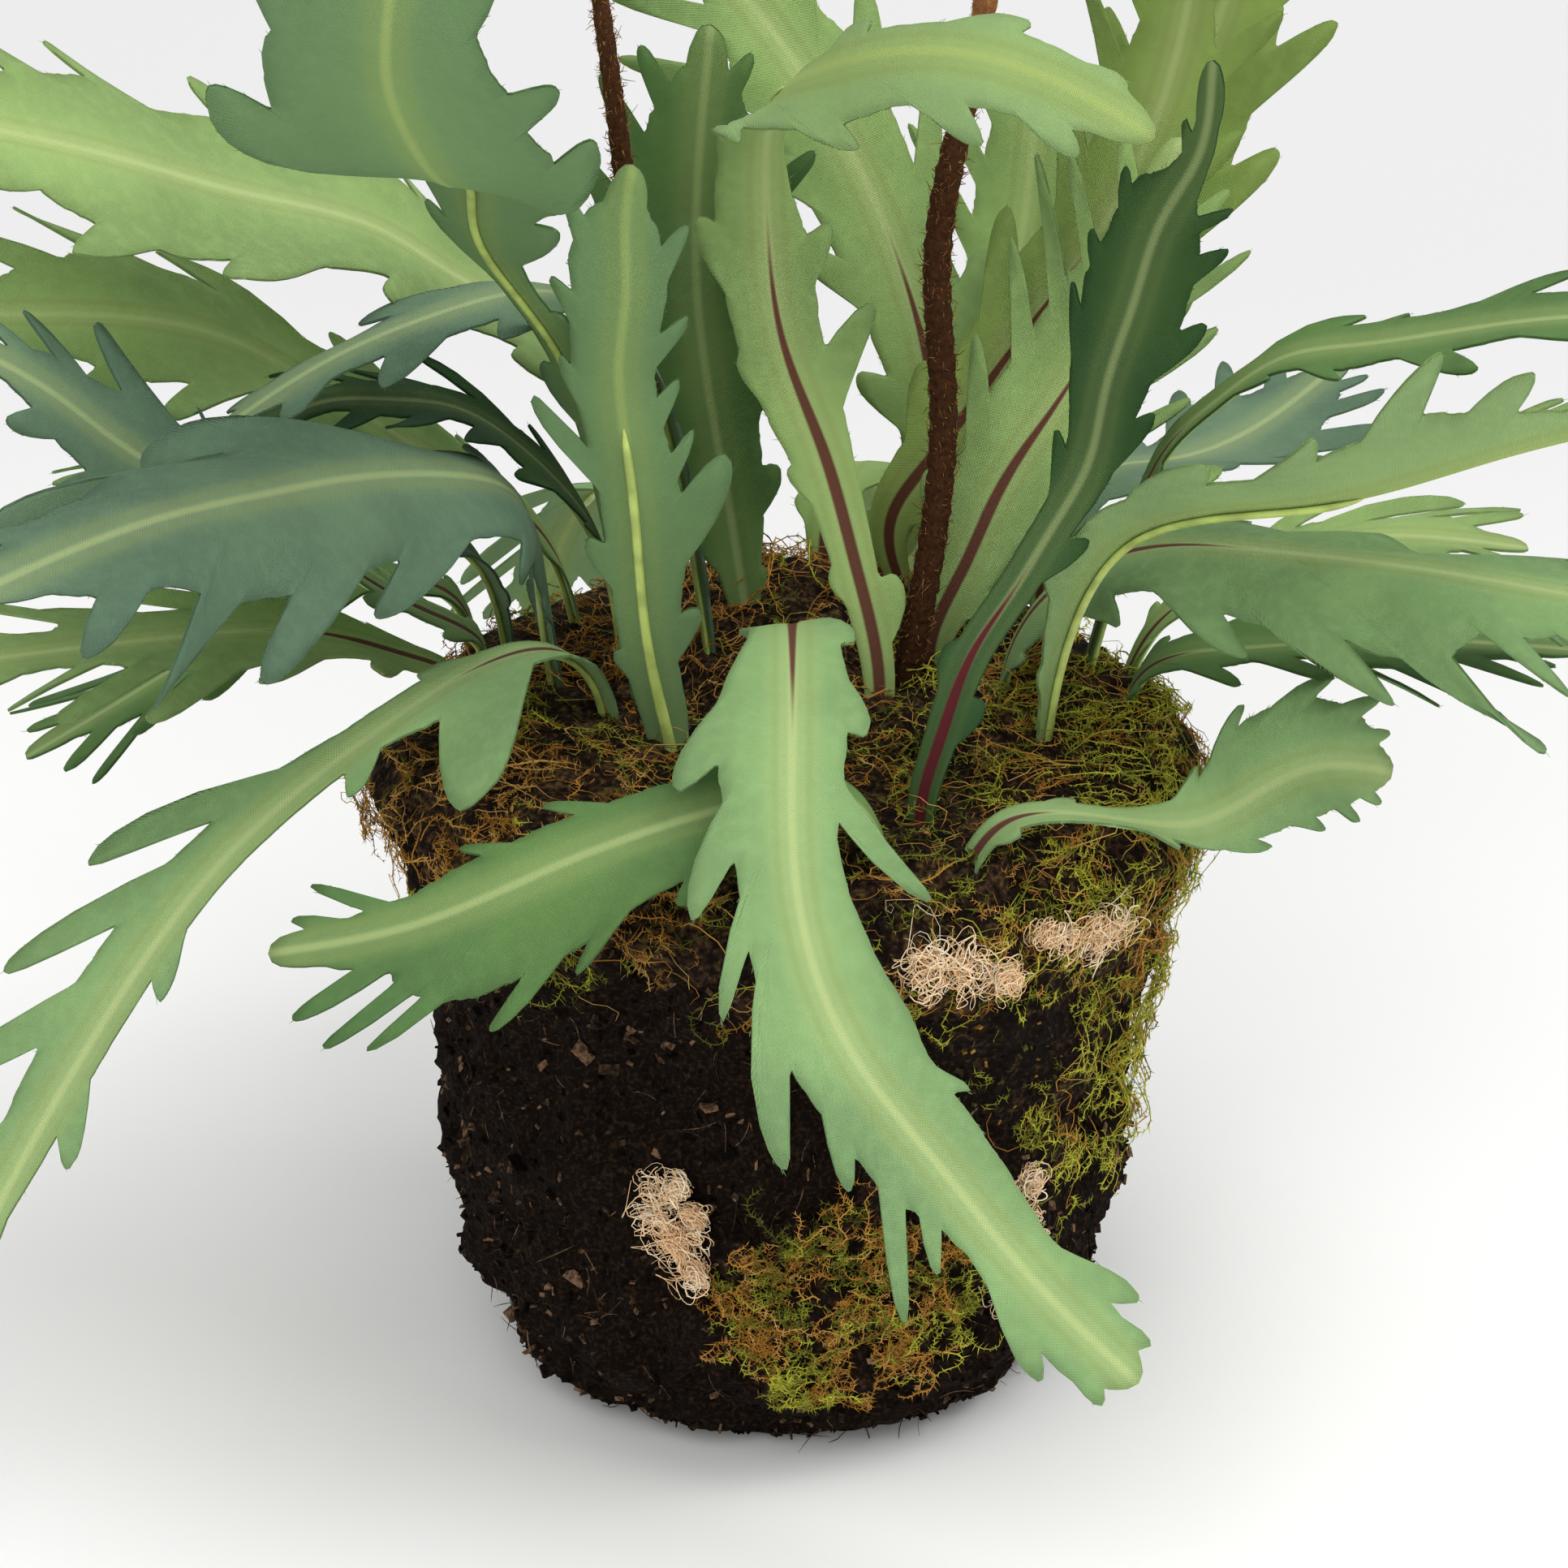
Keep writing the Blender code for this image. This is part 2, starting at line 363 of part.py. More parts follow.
class FrondSurface:
    """The bent and lobed mid-surface of one frond, as a function of rib share and reach."""

    SAMPLES = 400

    def __init__(self, frond):
        self.frond = frond
        self.path, self.length = natural_spline(frond.route, self.SAMPLES)
        self.scale = frond.breadth * min(1.1, max(0.8, self.length / NOMINAL_LENGTH))
        self.rib = self.length - frond.cut.tip * self.scale
        self.phase = np.random.default_rng(frond.seed).uniform(0, 2 * math.pi, 4)
        self.side, self.up = self.faced_frame() if frond.face else self.turned_frame()

    def faced_frame(self):
        """Side and up vectors along the rib, from the directions that the top side faces."""
        shares = [share for share, _ in self.frond.face]
        facing = np.array([direction for _, direction in self.frond.face], float)
        at = np.linspace(0, 1, self.SAMPLES)
        up = np.stack([np.interp(at, shares, facing[:, i]) for i in range(3)], axis=1)
        tangent = unit(np.gradient(self.path, axis=0))
        side = unit(np.cross(tangent, up))
        return side, np.cross(side, tangent)

    def turned_frame(self):
        """Side and up vectors along the rib: level across the bearing, then rolled."""
        bearing = math.radians(self.frond.bearing)
        across = np.array([math.sin(bearing), -math.cos(bearing), 0.0])
        tangent = unit(np.gradient(self.path, axis=0))
        side = unit(across - (tangent @ across)[:, None] * tangent)
        up = np.cross(side, tangent)
        roll = np.array(self.frond.roll, float)
        angle = np.interp(np.linspace(0, 1, self.SAMPLES), roll[:, 0], roll[:, 1])
        angle = np.convolve(np.pad(angle, 20, mode="edge"), np.ones(41) / 41, "valid")
        angle = np.radians(angle)[:, None]
        side = side * np.cos(angle) + up * np.sin(angle)
        return side, np.cross(side, tangent)

    def reach(self, hand, share):
        """Reach in mm along the lean on one side; hand -1 is left, +1 right."""
        left = (hand < 0) != self.frond.mirrored
        cut = self.frond.cut
        web = np.array(cut.web_left if left else cut.web_right)
        lobes = cut.left if left else cut.right
        reach = np.interp(share, web[:, 0], web[:, 1])
        for middle, length, half in lobes:
            bump = np.clip(1 - np.abs((share - middle) / half) ** 2.6, 0, 1) ** 0.5
            reach = np.maximum(reach, length * bump)
        blend = np.clip((share - 0.97) / 0.03, 0, 1)
        return np.maximum((reach * (1 - blend) + cut.tip * blend) * self.scale, BLADE_LEAST)

    def flat(self, share, reach, hand):
        """The same point on the blade laid flat: across and along."""
        angle = np.radians(lean(share))
        return hand * reach * np.sin(angle), share * self.rib + reach * np.cos(angle)

    def point(self, share, reach, hand):
        """Point in space. Each half of the blade bends across as an arc with its own fold and curl."""
        across, along = self.flat(share, reach, 1.0)
        i = 0 if hand < 0 else 1
        wave = np.sin(2 * math.pi * 2.3 * share + self.phase[i]) * np.clip(across / 6, 0, 1)
        fold = np.radians(self.frond.fold[i] + 6 * wave)
        ripple = np.sin(2 * math.pi * 4.1 * share + self.phase[2 + i])
        curl = np.radians(self.frond.curl[i]) * (1 + 0.35 * ripple)
        curl = np.where(np.abs(curl) < 1e-5, 1e-5, curl)
        out = (np.sin(fold + curl * across) - np.sin(fold)) / curl
        lift = (np.cos(fold) - np.cos(fold + curl * across)) / curl
        q = np.clip(along / self.length, 0, 1) * (self.SAMPLES - 1)
        k = np.clip(q.astype(int), 0, self.SAMPLES - 2)
        w = (q - k)[..., None]
        path = self.path[k] * (1 - w) + self.path[k + 1] * w
        side = self.side[k] * (1 - w) + self.side[k + 1] * w
        up = self.up[k] * (1 - w) + self.up[k + 1] * w
        return path + side * (hand * out)[..., None] + up * lift[..., None]

    def normal(self, share, reach, hand):
        """Unit normal of the top side, from small steps along and across."""
        s = np.clip(share, 0.002, 0.998)
        r = np.maximum(reach, 0.3)
        along = self.point(s + 0.002, r, hand) - self.point(s - 0.002, r, hand)
        across = self.point(s, r + 0.2, hand) - self.point(s, r - 0.2, hand)
        return unit(np.cross(across * hand, along))


def keep_points(curve, fixed, count):
    """Indices of the points of a flat curve that keep its shape best, beside the fixed ones."""
    kept = [0, fixed, len(curve) - 1]
    while len(kept) < count:
        kept.sort()
        best, best_gap = None, -1.0
        for a, b in zip(kept[:-1], kept[1:]):
            if b - a < 2:
                continue
            chord = curve[b] - curve[a]
            away = curve[a + 1:b] - curve[a]
            gap = np.abs(chord[0] * away[:, 1] - chord[1] * away[:, 0]) / max(np.linalg.norm(chord), 1e-9)
            far = int(np.argmax(gap))
            if gap[far] > best_gap:
                best, best_gap = a + 1 + far, gap[far]
        kept.append(best)
    return sorted(kept)


def rib_shares():
    """Shares of the rib at which it has corners."""
    return np.linspace(0, 0.985, RIB_POINTS)


def blade_points(surface):
    """Shares, reaches and hands of the blade's corners, and the edges that bound and crease it."""
    share = np.linspace(0, 1, 500)
    corners = []
    chains = []
    for hand in (-1, 1):
        reach = surface.reach(hand, share)
        curve = np.stack(surface.flat(share, reach, hand), axis=1)
        first = int(np.searchsorted(share, rib_shares()[1]))
        kept = keep_points(curve, first, surface.frond.edge_points)
        if hand == 1:
            kept = kept[:-1]
        chains.append(list(range(len(corners), len(corners) + len(kept))))
        corners += [(share[k], reach[k], hand) for k in kept]
    chains[1].append(chains[0][-1])
    shares = rib_shares()
    for offset in (0.0, -RIB_HALF_WIDTH, RIB_HALF_WIDTH):
        chains.append(list(range(len(corners), len(corners) + len(shares))))
        corners += [(s, abs(offset), math.copysign(1, offset) if offset else 1) for s in shares]
    left, right, rib, left_rib, right_rib = chains
    edges = [pair for chain in chains for pair in zip(chain[:-1], chain[1:])]
    foot = [left[0], left_rib[0], rib[0], right_rib[0], right[0]]
    edges += list(zip(foot[:-1], foot[1:]))
    return corners, edges, set(rib)


def frond_mesh(surface):
    """Closed mesh of one frond: top side, underside with the raised rib, and the cut edge."""
    corners, edges, rib = blade_points(surface)
    flat = [Vector(surface.flat(np.float64(s), np.float64(r), h)) for s, r, h in corners]
    verts, _, faces, origins, _, _ = delaunay_2d_cdt(flat, edges, [], 1, 1e-6)
    source = [o[0] for o in origins]
    top = []
    under = []
    for k in source:
        s, r, h = corners[k]
        where = (np.array([s]), np.array([r]), h)
        point = surface.point(*where)[0]
        normal = surface.normal(*where)[0]
        depth = RIB_DEPTH * np.clip((RIB_END - s) / 0.04, 0, 1) if k in rib else 0.0
        top.append(point + normal * BLADE_THICK / 2)
        under.append(point - normal * (BLADE_THICK / 2 + depth))
    n = len(top)
    sides = [tuple(f) for f in faces] + [tuple(n + k for k in reversed(f)) for f in faces]
    directed = {(f[i], f[(i + 1) % 3]) for f in faces for i in range(3)}
    walls = []
    for a, b in directed:
        if (b, a) not in directed:
            walls.append((b, a, n + a))
            walls.append((b, n + a, n + b))
    return np.array(top + under), sides + walls


def add_object(name, points, faces, material, smooth=True):
    """Object from points in mm and faces, split into triangles, with its normals facing out."""
    triangles = [(f[0], f[k], f[k + 1]) for f in faces for k in range(1, len(f) - 1)]
    mesh = bpy.data.meshes.new(name)
    mesh.from_pydata([tuple(p * MM) for p in points], [], triangles)
    work = bmesh.new()
    work.from_mesh(mesh)
    bmesh.ops.recalc_face_normals(work, faces=work.faces[:])
    if work.calc_volume(signed=True) < 0:
        bmesh.ops.reverse_faces(work, faces=work.faces[:])
    work.to_mesh(mesh)
    work.free()
    obj = bpy.data.objects.new(name, mesh)
    bpy.context.scene.collection.objects.link(obj)
    if material:
        mesh.materials.append(material)
    for polygon in mesh.polygons:
        polygon.use_smooth = smooth
    return obj


def principled(name, colour, roughness):
    """Plain Principled material."""
    material = bpy.data.materials.new(name)
    material.use_nodes = True
    shader = material.node_tree.nodes["Principled BSDF"]
    shader.inputs["Base Color"].default_value = (*colour, 1)
    shader.inputs["Roughness"].default_value = roughness
    return material


def lumps(points, size, seed):
    """Smooth uneven field between about -1 and 1 at the points, from a few drawn waves."""
    rng = np.random.default_rng(seed)
    total = np.zeros(len(points))
    for _ in range(8):
        direction = rng.normal(size=3)
        direction /= np.linalg.norm(direction)
        wavelength = size * rng.uniform(0.8, 1.6)
        total += np.sin(points @ direction * (2 * math.pi / wavelength) + rng.uniform(0, 6.28))
    return total / 4


def ball_surface(angle, step):
    """Point on the root ball: step 0 at the foot's edge, 1 at the shoulder, 2 at the middle of the top."""
    side = np.array(BALL_SIDE, float)
    steps = np.linspace(0, 1, len(side))
    on_top = np.clip(step - 1, 0, 1)
    height = np.interp(step, steps, side[:, 0])
    radius = np.interp(step, steps, side[:, 1]) * np.cos(on_top * math.pi / 2)
    height = height + (BALL_TOP - side[-1, 0]) * np.sin(on_top * math.pi / 2)
    x = radius * np.cos(angle)
    y = radius * np.sin(angle)
    away = ((x - BALL_MOUND_AT[0]) ** 2 + (y - BALL_MOUND_AT[1]) ** 2) / BALL_MOUND_SPREAD ** 2
    z = height + BALL_MOUND * np.exp(-away) * np.clip((step - 0.85) / 0.2, 0, 1)
    points = np.stack([x, y, z], axis=-1)
    flat = points.reshape(-1, 3)
    swell = (BALL_LUMP * lumps(flat, 22, 5) * np.clip(flat[:, 2] / 6, 0, 1)).reshape(np.shape(x))
    outward = np.stack([np.cos(angle) * np.cos(on_top * 1.5), np.sin(angle) * np.cos(on_top * 1.5),
                        np.sin(on_top * 1.5)], axis=-1)
    return points + outward * swell[..., None], outward


def grid_faces(rows, columns, closed=True):
    """Quads of a grid whose columns wrap round when closed."""
    faces = []
    for r in range(rows - 1):
        for c in range(columns if closed else columns - 1):
            d = (c + 1) % columns
            faces.append((r * columns + c, r * columns + d, (r + 1) * columns + d, (r + 1) * columns + c))
    return faces


def ball_grid(swell):
    """Rows of points of the root ball's surface, moved out by so many mm."""
    angle = np.linspace(0, 2 * math.pi, BALL_SEGMENTS, endpoint=False)
    rows = []
    for step in BALL_STEPS:
        base, outward = ball_surface(angle, np.full(BALL_SEGMENTS, step))
        swells = swell[len(rows)] if np.ndim(swell) else swell
        rows.append(base + outward * np.reshape(swells, (-1, 1)))
    return np.array(rows)


def root_ball(material):
    """The pot-shaped ball of peat: a lathed side with lumps, a flat foot and a domed top."""
    rows = ball_grid(0.0)
    top, _ = ball_surface(np.array([0.0]), np.array([2.0]))
    points = np.vstack([rows.reshape(-1, 3), [[0, 0, 0]], top])
    faces = grid_faces(len(rows), BALL_SEGMENTS)
    foot = len(rows) * BALL_SEGMENTS
    last = foot - BALL_SEGMENTS
    for c in range(BALL_SEGMENTS):
        d = (c + 1) % BALL_SEGMENTS
        faces.append((foot, d, c))
        faces.append((foot + 1, last + c, last + d))
    return add_object("root_ball", points, faces, material)


def moss_sheet(name, covers, seed, material):
    """Moss on the cells of the root ball's surface that covers(bearing, height) picks.

    Its inner side follows the ball at a small gap, and its outer side is uneven and
    thins toward the edge.
    """
    inner = ball_grid(MOSS_GAP)
    rows = len(inner)
    bearing = np.degrees(np.arctan2(inner[..., 1], inner[..., 0]))
    middle = (inner[:-1] + np.roll(inner, -1, axis=1)[1:]) / 2
    picked = covers(np.degrees(np.arctan2(middle[..., 1], middle[..., 0])), middle[..., 2])
    cells = [(r, c) for r in range(rows - 1) for c in range(BALL_SEGMENTS) if picked[r, c]]
    whole = picked[-1].all()
    inside = np.ones(inner.shape[:2], bool)
    for r in range(rows):
        around = [picked[max(r - 1, 0)], picked[min(r, rows - 2)]]
        inside[r] = np.all([a & np.roll(a, 1) for a in around], axis=0)
    thick = MOSS_THICK + MOSS_LUMP * lumps(inner.reshape(-1, 3), 9, seed).reshape(inside.shape)
    thick = np.maximum(thick, 1.0) * np.where(inside, 1.0, 0.4)
    outer = ball_grid(MOSS_GAP + thick)
    points = list(inner.reshape(-1, 3)) + list(outer.reshape(-1, 3))
    half = inner.shape[0] * BALL_SEGMENTS
    number = np.arange(half).reshape(inner.shape[:2])
    number = np.hstack([number, number[:, :1]])
    sheet = [(number[r, c], number[r, c + 1], number[r + 1, c + 1], number[r + 1, c]) for r, c in cells]
    if whole:
        top, up = ball_surface(np.array([0.0]), np.array([2.0]))
        points += [(top + up * MOSS_GAP)[0], (top + up * (MOSS_GAP + MOSS_THICK))[0]]
    directed = {(f[i], f[(i + 1) % 4]) for f in sheet for i in range(4)}
    faces = [(a, d, c, b) for a, b, c, d in sheet] + [tuple(half + k for k in f) for f in sheet]
    for a, b in directed:
        if (b, a) in directed:
            continue
        if whole and a >= half - BALL_SEGMENTS and b >= half - BALL_SEGMENTS:
            faces.append((2 * half, a, b))
            faces.append((2 * half + 1, half + b, half + a))
        else:
            faces.append((a, b, half + b, half + a))
    used = sorted({k for f in faces for k in f})
    place = {k: i for i, k in enumerate(used)}
    faces = [tuple(place[k] for k in f) for f in faces]
    return add_object(name, np.array([points[k] for k in used]), faces, material)


def over_the_top(bearing, height):
    """Whether the upper moss covers a place: all above a hem whose height goes with the bearing."""
    hem = np.array(MOSS_HEM, float)
    return height > np.interp(bearing, hem[:, 0], hem[:, 1])


def moss_patch(material):
    """Low patch of moss on the front of the root ball: an oval with a ragged edge, thickest in the middle."""
    turn = np.linspace(0, 2 * math.pi, PATCH_COLUMNS, endpoint=False)
    ragged = 1 + 0.13 * np.sin(5 * turn + 1) + 0.1 * np.cos(9 * turn)
    inner, outer = [], []
    for ring in np.linspace(1, 0, PATCH_RINGS + 1)[:-1]:
        spread = ring * (1 + (ragged - 1) * ring)
        bearing = np.radians(PATCH_MIDDLE[0] + PATCH_HALF[0] * spread * np.cos(turn))
        height = PATCH_MIDDLE[1] + PATCH_HALF[1] * spread * np.sin(turn)
        base, outward = ball_surface(bearing, step_of_height(height))
        thick = MOSS_THICK * (1 - 0.6 * ring ** 2) + MOSS_LUMP * lumps(base, 8, 12)
        inner.append(base + outward * PATCH_GAP)
        outer.append(base + outward * (PATCH_GAP + np.maximum(thick, 0.8))[:, None])
    middle, out = ball_surface(np.radians(PATCH_MIDDLE[:1]), step_of_height(np.array(PATCH_MIDDLE[1:])))
    points = np.vstack(inner + outer + [middle + out * PATCH_GAP, middle + out * (PATCH_GAP + MOSS_THICK)])
    half = PATCH_RINGS * PATCH_COLUMNS
    sheet = grid_faces(PATCH_RINGS, PATCH_COLUMNS)
    faces = [(a, d, c, b) for a, b, c, d in sheet] + [tuple(half + k for k in f) for f in sheet]
    last = half - PATCH_COLUMNS
    for c in range(PATCH_COLUMNS):
        d = (c + 1) % PATCH_COLUMNS
        faces.append((c, d, half + d, half + c))
        faces.append((2 * half, last + d, last + c))
        faces.append((2 * half + 1, half + last + c, half + last + d))
    return add_object("moss_patch", points, faces, material)


def fibre_tuft(name, bearings, heights, loops, width, lift, material):
    """Curl of tan fibre on the root ball: one strand wound in flat loops along a short way."""
    turn = np.linspace(0, 2 * math.pi * loops, 10 * loops + 1)
    share = turn / turn[-1]
    swing = width * (0.7 + 0.3 * np.sin(1.7 * turn + loops))
    bearing = np.radians(np.interp(share, [0, 1], bearings)) + np.cos(turn) * swing / 46
    height = np.interp(share, [0, 1], heights) + np.sin(turn + 0.6) * swing
    base, outward = ball_surface(bearing, step_of_height(height))
    clear = lift + FIBRE_RADIUS + TUFT_RISE * (1 + np.sin(turn))
    points, faces = tube(base + outward * clear[:, None], FIBRE_RADIUS, 4)
    return add_object(name, points, faces, material)


def step_of_height(height):
    """Step on the root ball's side at a height."""
    side = np.array(BALL_SIDE, float)
    return np.interp(height, side[:, 0], np.linspace(0, 1, len(side)))


def tube(path, radius, sides):
    """Points and faces of a closed tube along a path, with a radius at each point."""
    path = np.asarray(path, float)
    tangent = unit(np.gradient(path, axis=0))
    first = np.cross(tangent[0], [0.0, 1.0, 0.3])
    side = [unit(first)]
    for t in tangent[1:]:
        side.append(unit(side[-1] - np.dot(side[-1], t) * t))
    side = np.array(side)
    other = np.cross(tangent, side)
    turn = np.linspace(0, 2 * math.pi, sides, endpoint=False)
    radius = np.broadcast_to(radius, len(path))
    ring = np.cos(turn)[None, :, None] * side[:, None] + np.sin(turn)[None, :, None] * other[:, None]
    points = (path[:, None] + ring * radius[:, None, None]).reshape(-1, 3)
    faces = grid_faces(len(path), sides)
    faces.append(tuple(reversed(range(sides))))
    faces.append(tuple((len(path) - 1) * sides + k for k in range(sides)))
    return points, faces


def stem_path(route, coil_radius, turns, bearing):
    """A stem's route with a coil at its end that winds inward towards the bearing."""
    path, _ = natural_spline(route, STEM_STRAIGHT)
    tangent = unit(path[-1] - path[-2])
    b = math.radians(bearing)
    toward = np.array([math.cos(b), math.sin(b), 0.0])
    toward = unit(toward - np.dot(toward, tangent) * tangent)
    angle = np.linspace(0, turns * 2 * math.pi, 37)[1:]
    radius = coil_radius * (1 - 0.62 * angle / angle[-1])
    step = np.diff(np.concatenate([[0], angle]))
    heading = np.cos(angle)[:, None] * tangent + np.sin(angle)[:, None] * toward
    coil = path[-1] + np.cumsum(heading * (radius * step)[:, None], axis=0)
    return np.vstack([path, coil])


def stem(name, route, radius, coil_radius, bearing, material):
    """One hairy stem: a tapered tube that ends in a coil. Gives the points along its middle."""
    path = stem_path(route, coil_radius, STEM_TURNS, bearing)
    bends = np.vstack([path[:STEM_STRAIGHT:5], path[STEM_STRAIGHT::2]])
    taper = radius * np.interp(np.linspace(0, 1, len(bends)), [0, 0.45, 1], [1, 0.92, 0.45])
    points, faces = tube(bends, taper, STEM_SIDES)
    add_object(name, points, faces, material)
    return bends[:8]


def hole_cutter(name, stations, half_width):
    """Cutter for one stalk's hole: a tube along the stalk from just under its root to above the moss."""
    count = 2 + int(np.sum(stations[1:, 2] < HOLE_TOP))
    bends = stations[:count].copy()
    bends[0] = bends[0] - unit(bends[1] - bends[0]) * HOLE_SPARE
    radius = (half_width[:count] + HOLE_SPARE) / math.cos(math.pi / HOLE_SIDES)
    points, faces = tube(bends, radius, HOLE_SIDES)
    cutter = add_object(name, points, faces, None, smooth=False)
    cutter.hide_render = True
    cutter.display_type = "WIRE"
    return cutter


def stalk_stations(surface):
    """The first corners along a frond's rib and the stalk's half width at each."""
    share = rib_shares()[:4]
    half_width = np.maximum(surface.reach(-1, share), surface.reach(1, share))
    return surface.point(share, np.zeros(4), 1), np.clip(half_width, STALK_HALF, STALK_MOST)


def drop_scraps(obj):
    """Keep only the largest connected piece of an object's mesh."""
    work = bmesh.new()
    work.from_mesh(obj.data)
    left = set(work.verts)
    pieces = []
    while left:
        piece = {left.pop()}
        edge = list(piece)
        while edge:
            vert = edge.pop()
            for link in vert.link_edges:
                other = link.other_vert(vert)
                if other in left:
                    left.remove(other)
                    piece.add(other)
                    edge.append(other)
        pieces.append(piece)
    pieces.sort(key=len)
    for piece in pieces[:-1]:
        bmesh.ops.delete(work, geom=list(piece), context="VERTS")
    work.to_mesh(obj.data)
    work.free()


def apply_booleans(target, cutters):
    """Cut every cutter from the target, one modifier each, and apply them."""
    for cutter in cutters:
        modifier = target.modifiers.new("hole", "BOOLEAN")
        modifier.operation = "DIFFERENCE"
        modifier.solver = "EXACT"
        modifier.object = cutter
    graph = bpy.context.evaluated_depsgraph_get()
    mesh = bpy.data.meshes.new_from_object(target.evaluated_get(graph))
    target.modifiers.clear()
    old = target.data
    target.data = mesh
    mesh.name = target.name
    bpy.data.meshes.remove(old)


def clear_scene():
    """Remove every object."""
    for obj in list(bpy.data.objects):
        bpy.data.objects.remove(obj, do_unlink=True)


def main():
    clear_scene()
    peat = principled("peat", (0.012, 0.008, 0.006), 0.95)
    moss = principled("moss", (0.10, 0.12, 0.02), 0.9)
    tan = principled("tan_fibre", (0.50, 0.36, 0.22), 0.9)
    ball = root_ball(peat)
    cover = moss_sheet("moss_cover", over_the_top, 11, moss)
    moss_patch(moss)
    for tuft in TUFTS:
        fibre_tuft(*tuft, tan)
    cutters = []
    for frond in FRONDS:
        surface = FrondSurface(frond)
        points, faces = frond_mesh(surface)
        fabric = principled(frond.name + "_fabric", (0.10, 0.22, 0.10), 0.7)
        add_object(frond.name, points, faces, fabric, smooth=False)
        cutters.append(hole_cutter("hole_for_" + frond.name, *stalk_stations(surface)))
    for name, route, radius, coil_radius, bearing in STEMS:
        bark = principled(name + "_fur", (0.10, 0.05, 0.02), 0.9)
        stations = stem(name, route, radius, coil_radius, bearing, bark)
        cutters.append(hole_cutter("hole_for_" + name, stations, np.full(len(stations), radius)))
    apply_booleans(ball, cutters)
    apply_booleans(cover, cutters)
    drop_scraps(ball)
    drop_scraps(cover)
    for cutter in cutters:
        bpy.data.objects.remove(cutter, do_unlink=True)


main()
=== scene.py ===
"""Looks of an artificial fern that stands in a bare, pot-shaped root ball.

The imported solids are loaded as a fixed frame, and each is stood for by a finer piece of
the same form: woven fronds with a printed stripe and a plastic rib, two hairy stems, the
crumbly peat, the moss with its feathered strands, and the curls of tan fibre.

Shapes are worked out in millimetres as numpy surfaces and stored in metres, +Z up, with
the middle of the root ball's foot at the origin and the front facing -Y.
"""
import math
from dataclasses import dataclass

import bpy
import numpy as np
from bpy.props import FloatProperty, FloatVectorProperty, IntProperty, PointerProperty
from bpy.types import Operator, Panel, PropertyGroup
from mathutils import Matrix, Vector


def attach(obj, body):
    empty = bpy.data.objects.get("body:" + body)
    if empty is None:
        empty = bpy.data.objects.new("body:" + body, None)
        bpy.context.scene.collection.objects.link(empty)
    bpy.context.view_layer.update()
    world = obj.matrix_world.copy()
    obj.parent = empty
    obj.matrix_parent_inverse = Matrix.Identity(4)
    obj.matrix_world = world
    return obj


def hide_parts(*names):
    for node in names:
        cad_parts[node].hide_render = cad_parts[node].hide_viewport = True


bl_info = {
    "name": "Fabric fern in a root ball",
    "version": (1, 0, 0),
    "blender": (4, 5, 0),
    "location": "3D View > Sidebar > Fern",
    "description": "Dresses the packed fern solids with woven fronds, hairy stems, moss and peat",
    "category": "Object",
}

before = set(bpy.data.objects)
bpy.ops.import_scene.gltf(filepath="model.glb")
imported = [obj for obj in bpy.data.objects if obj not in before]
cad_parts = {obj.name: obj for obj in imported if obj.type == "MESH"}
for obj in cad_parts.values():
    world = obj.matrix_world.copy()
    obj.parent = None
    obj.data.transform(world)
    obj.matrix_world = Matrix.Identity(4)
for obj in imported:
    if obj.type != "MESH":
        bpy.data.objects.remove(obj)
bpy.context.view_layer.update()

MM = 0.001
TURN = 2 * math.pi

# Root ball: height and radius of its side from the foot up, then its top, the mound on it, and the size
# and seed of its slow lumps.
BALL_SIDE = [(0, 29), (1.5, 32), (5, 36), (14, 41.5), (28, 43.5), (45, 44.5), (60, 45.5), (68, 47.5),
             (76, 50), (82, 50), (86.5, 46)]
BALL_TOP = 89.0
BALL_MOUND = 5.0
BALL_MOUND_AT = (2.0, 28.0)
BALL_MOUND_SPREAD = 17.0
BALL_LUMP = 1.6
BALL_LUMP_SIZE = 22
BALL_LUMP_SEED = 5

# Steps on the root ball: its shoulder, the middle of its top, and the last one with loose peat on it.
SHOULDER = 1.0
CROWN = 2.0
PEAT_LAST_STEP = 1.1

# A chip of peat: half side of the cube it starts as, its stretch along three directions, and how many
# times its size it reaches from its middle.
CHIP_HALF = 0.58
CHIP_STRETCH = (1.7, 0.95, 0.34)
CHIP_REACH = 1.35

# Upper moss: how far it hangs down the side, as (bearing, lowest height).
MOSS_HEM = [(-180, 74), (-150, 76), (-120, 73), (-90, 71), (-70, 66), (-55, 47), (-40, 34), (-20, 40),
            (0, 46), (30, 58), (60, 64), (90, 66), (135, 70), (180, 74)]

# Middle of the dry mound of moss at the back of the top, in mm.
DRY_MOUND_AT = (-5, 24)

# Middle and half size of the low patch of moss, and of the window of bare peat in the upper moss: bearing
# in degrees, height in mm.
PATCH_MIDDLE = (-80.0, 28.0)
PATCH_HALF = (21.0, 15.0)
BARE_MIDDLE = (-61.0, 60.0)
BARE_HALF = (23.0, 11.0)

# Least and greatest length of a feathered strand of moss in mm, points along it and barbs on each side.
COVER_SHORT = (3.0, 8.0), 6, 8
COVER_LONG = (8, 20), 12, 15
PATCH_SHORT = (3, 7), 6, 9
PATCH_LONG = (7, 14), 12, 15

# Least and greatest length of a bare fibre on the moss, and the points along it.
BARE_LENGTH = (5, 15)
BARE_STATIONS = 9

# Least and greatest radius in mm: a feathered strand's stem, a bare fibre of moss or peat, a tuft's fibre.
STRAND_RADII = (0.07, 0.12)
FIBRE_RADII = (0.05, 0.11)
TUFT_RADII = (0.055, 0.11)

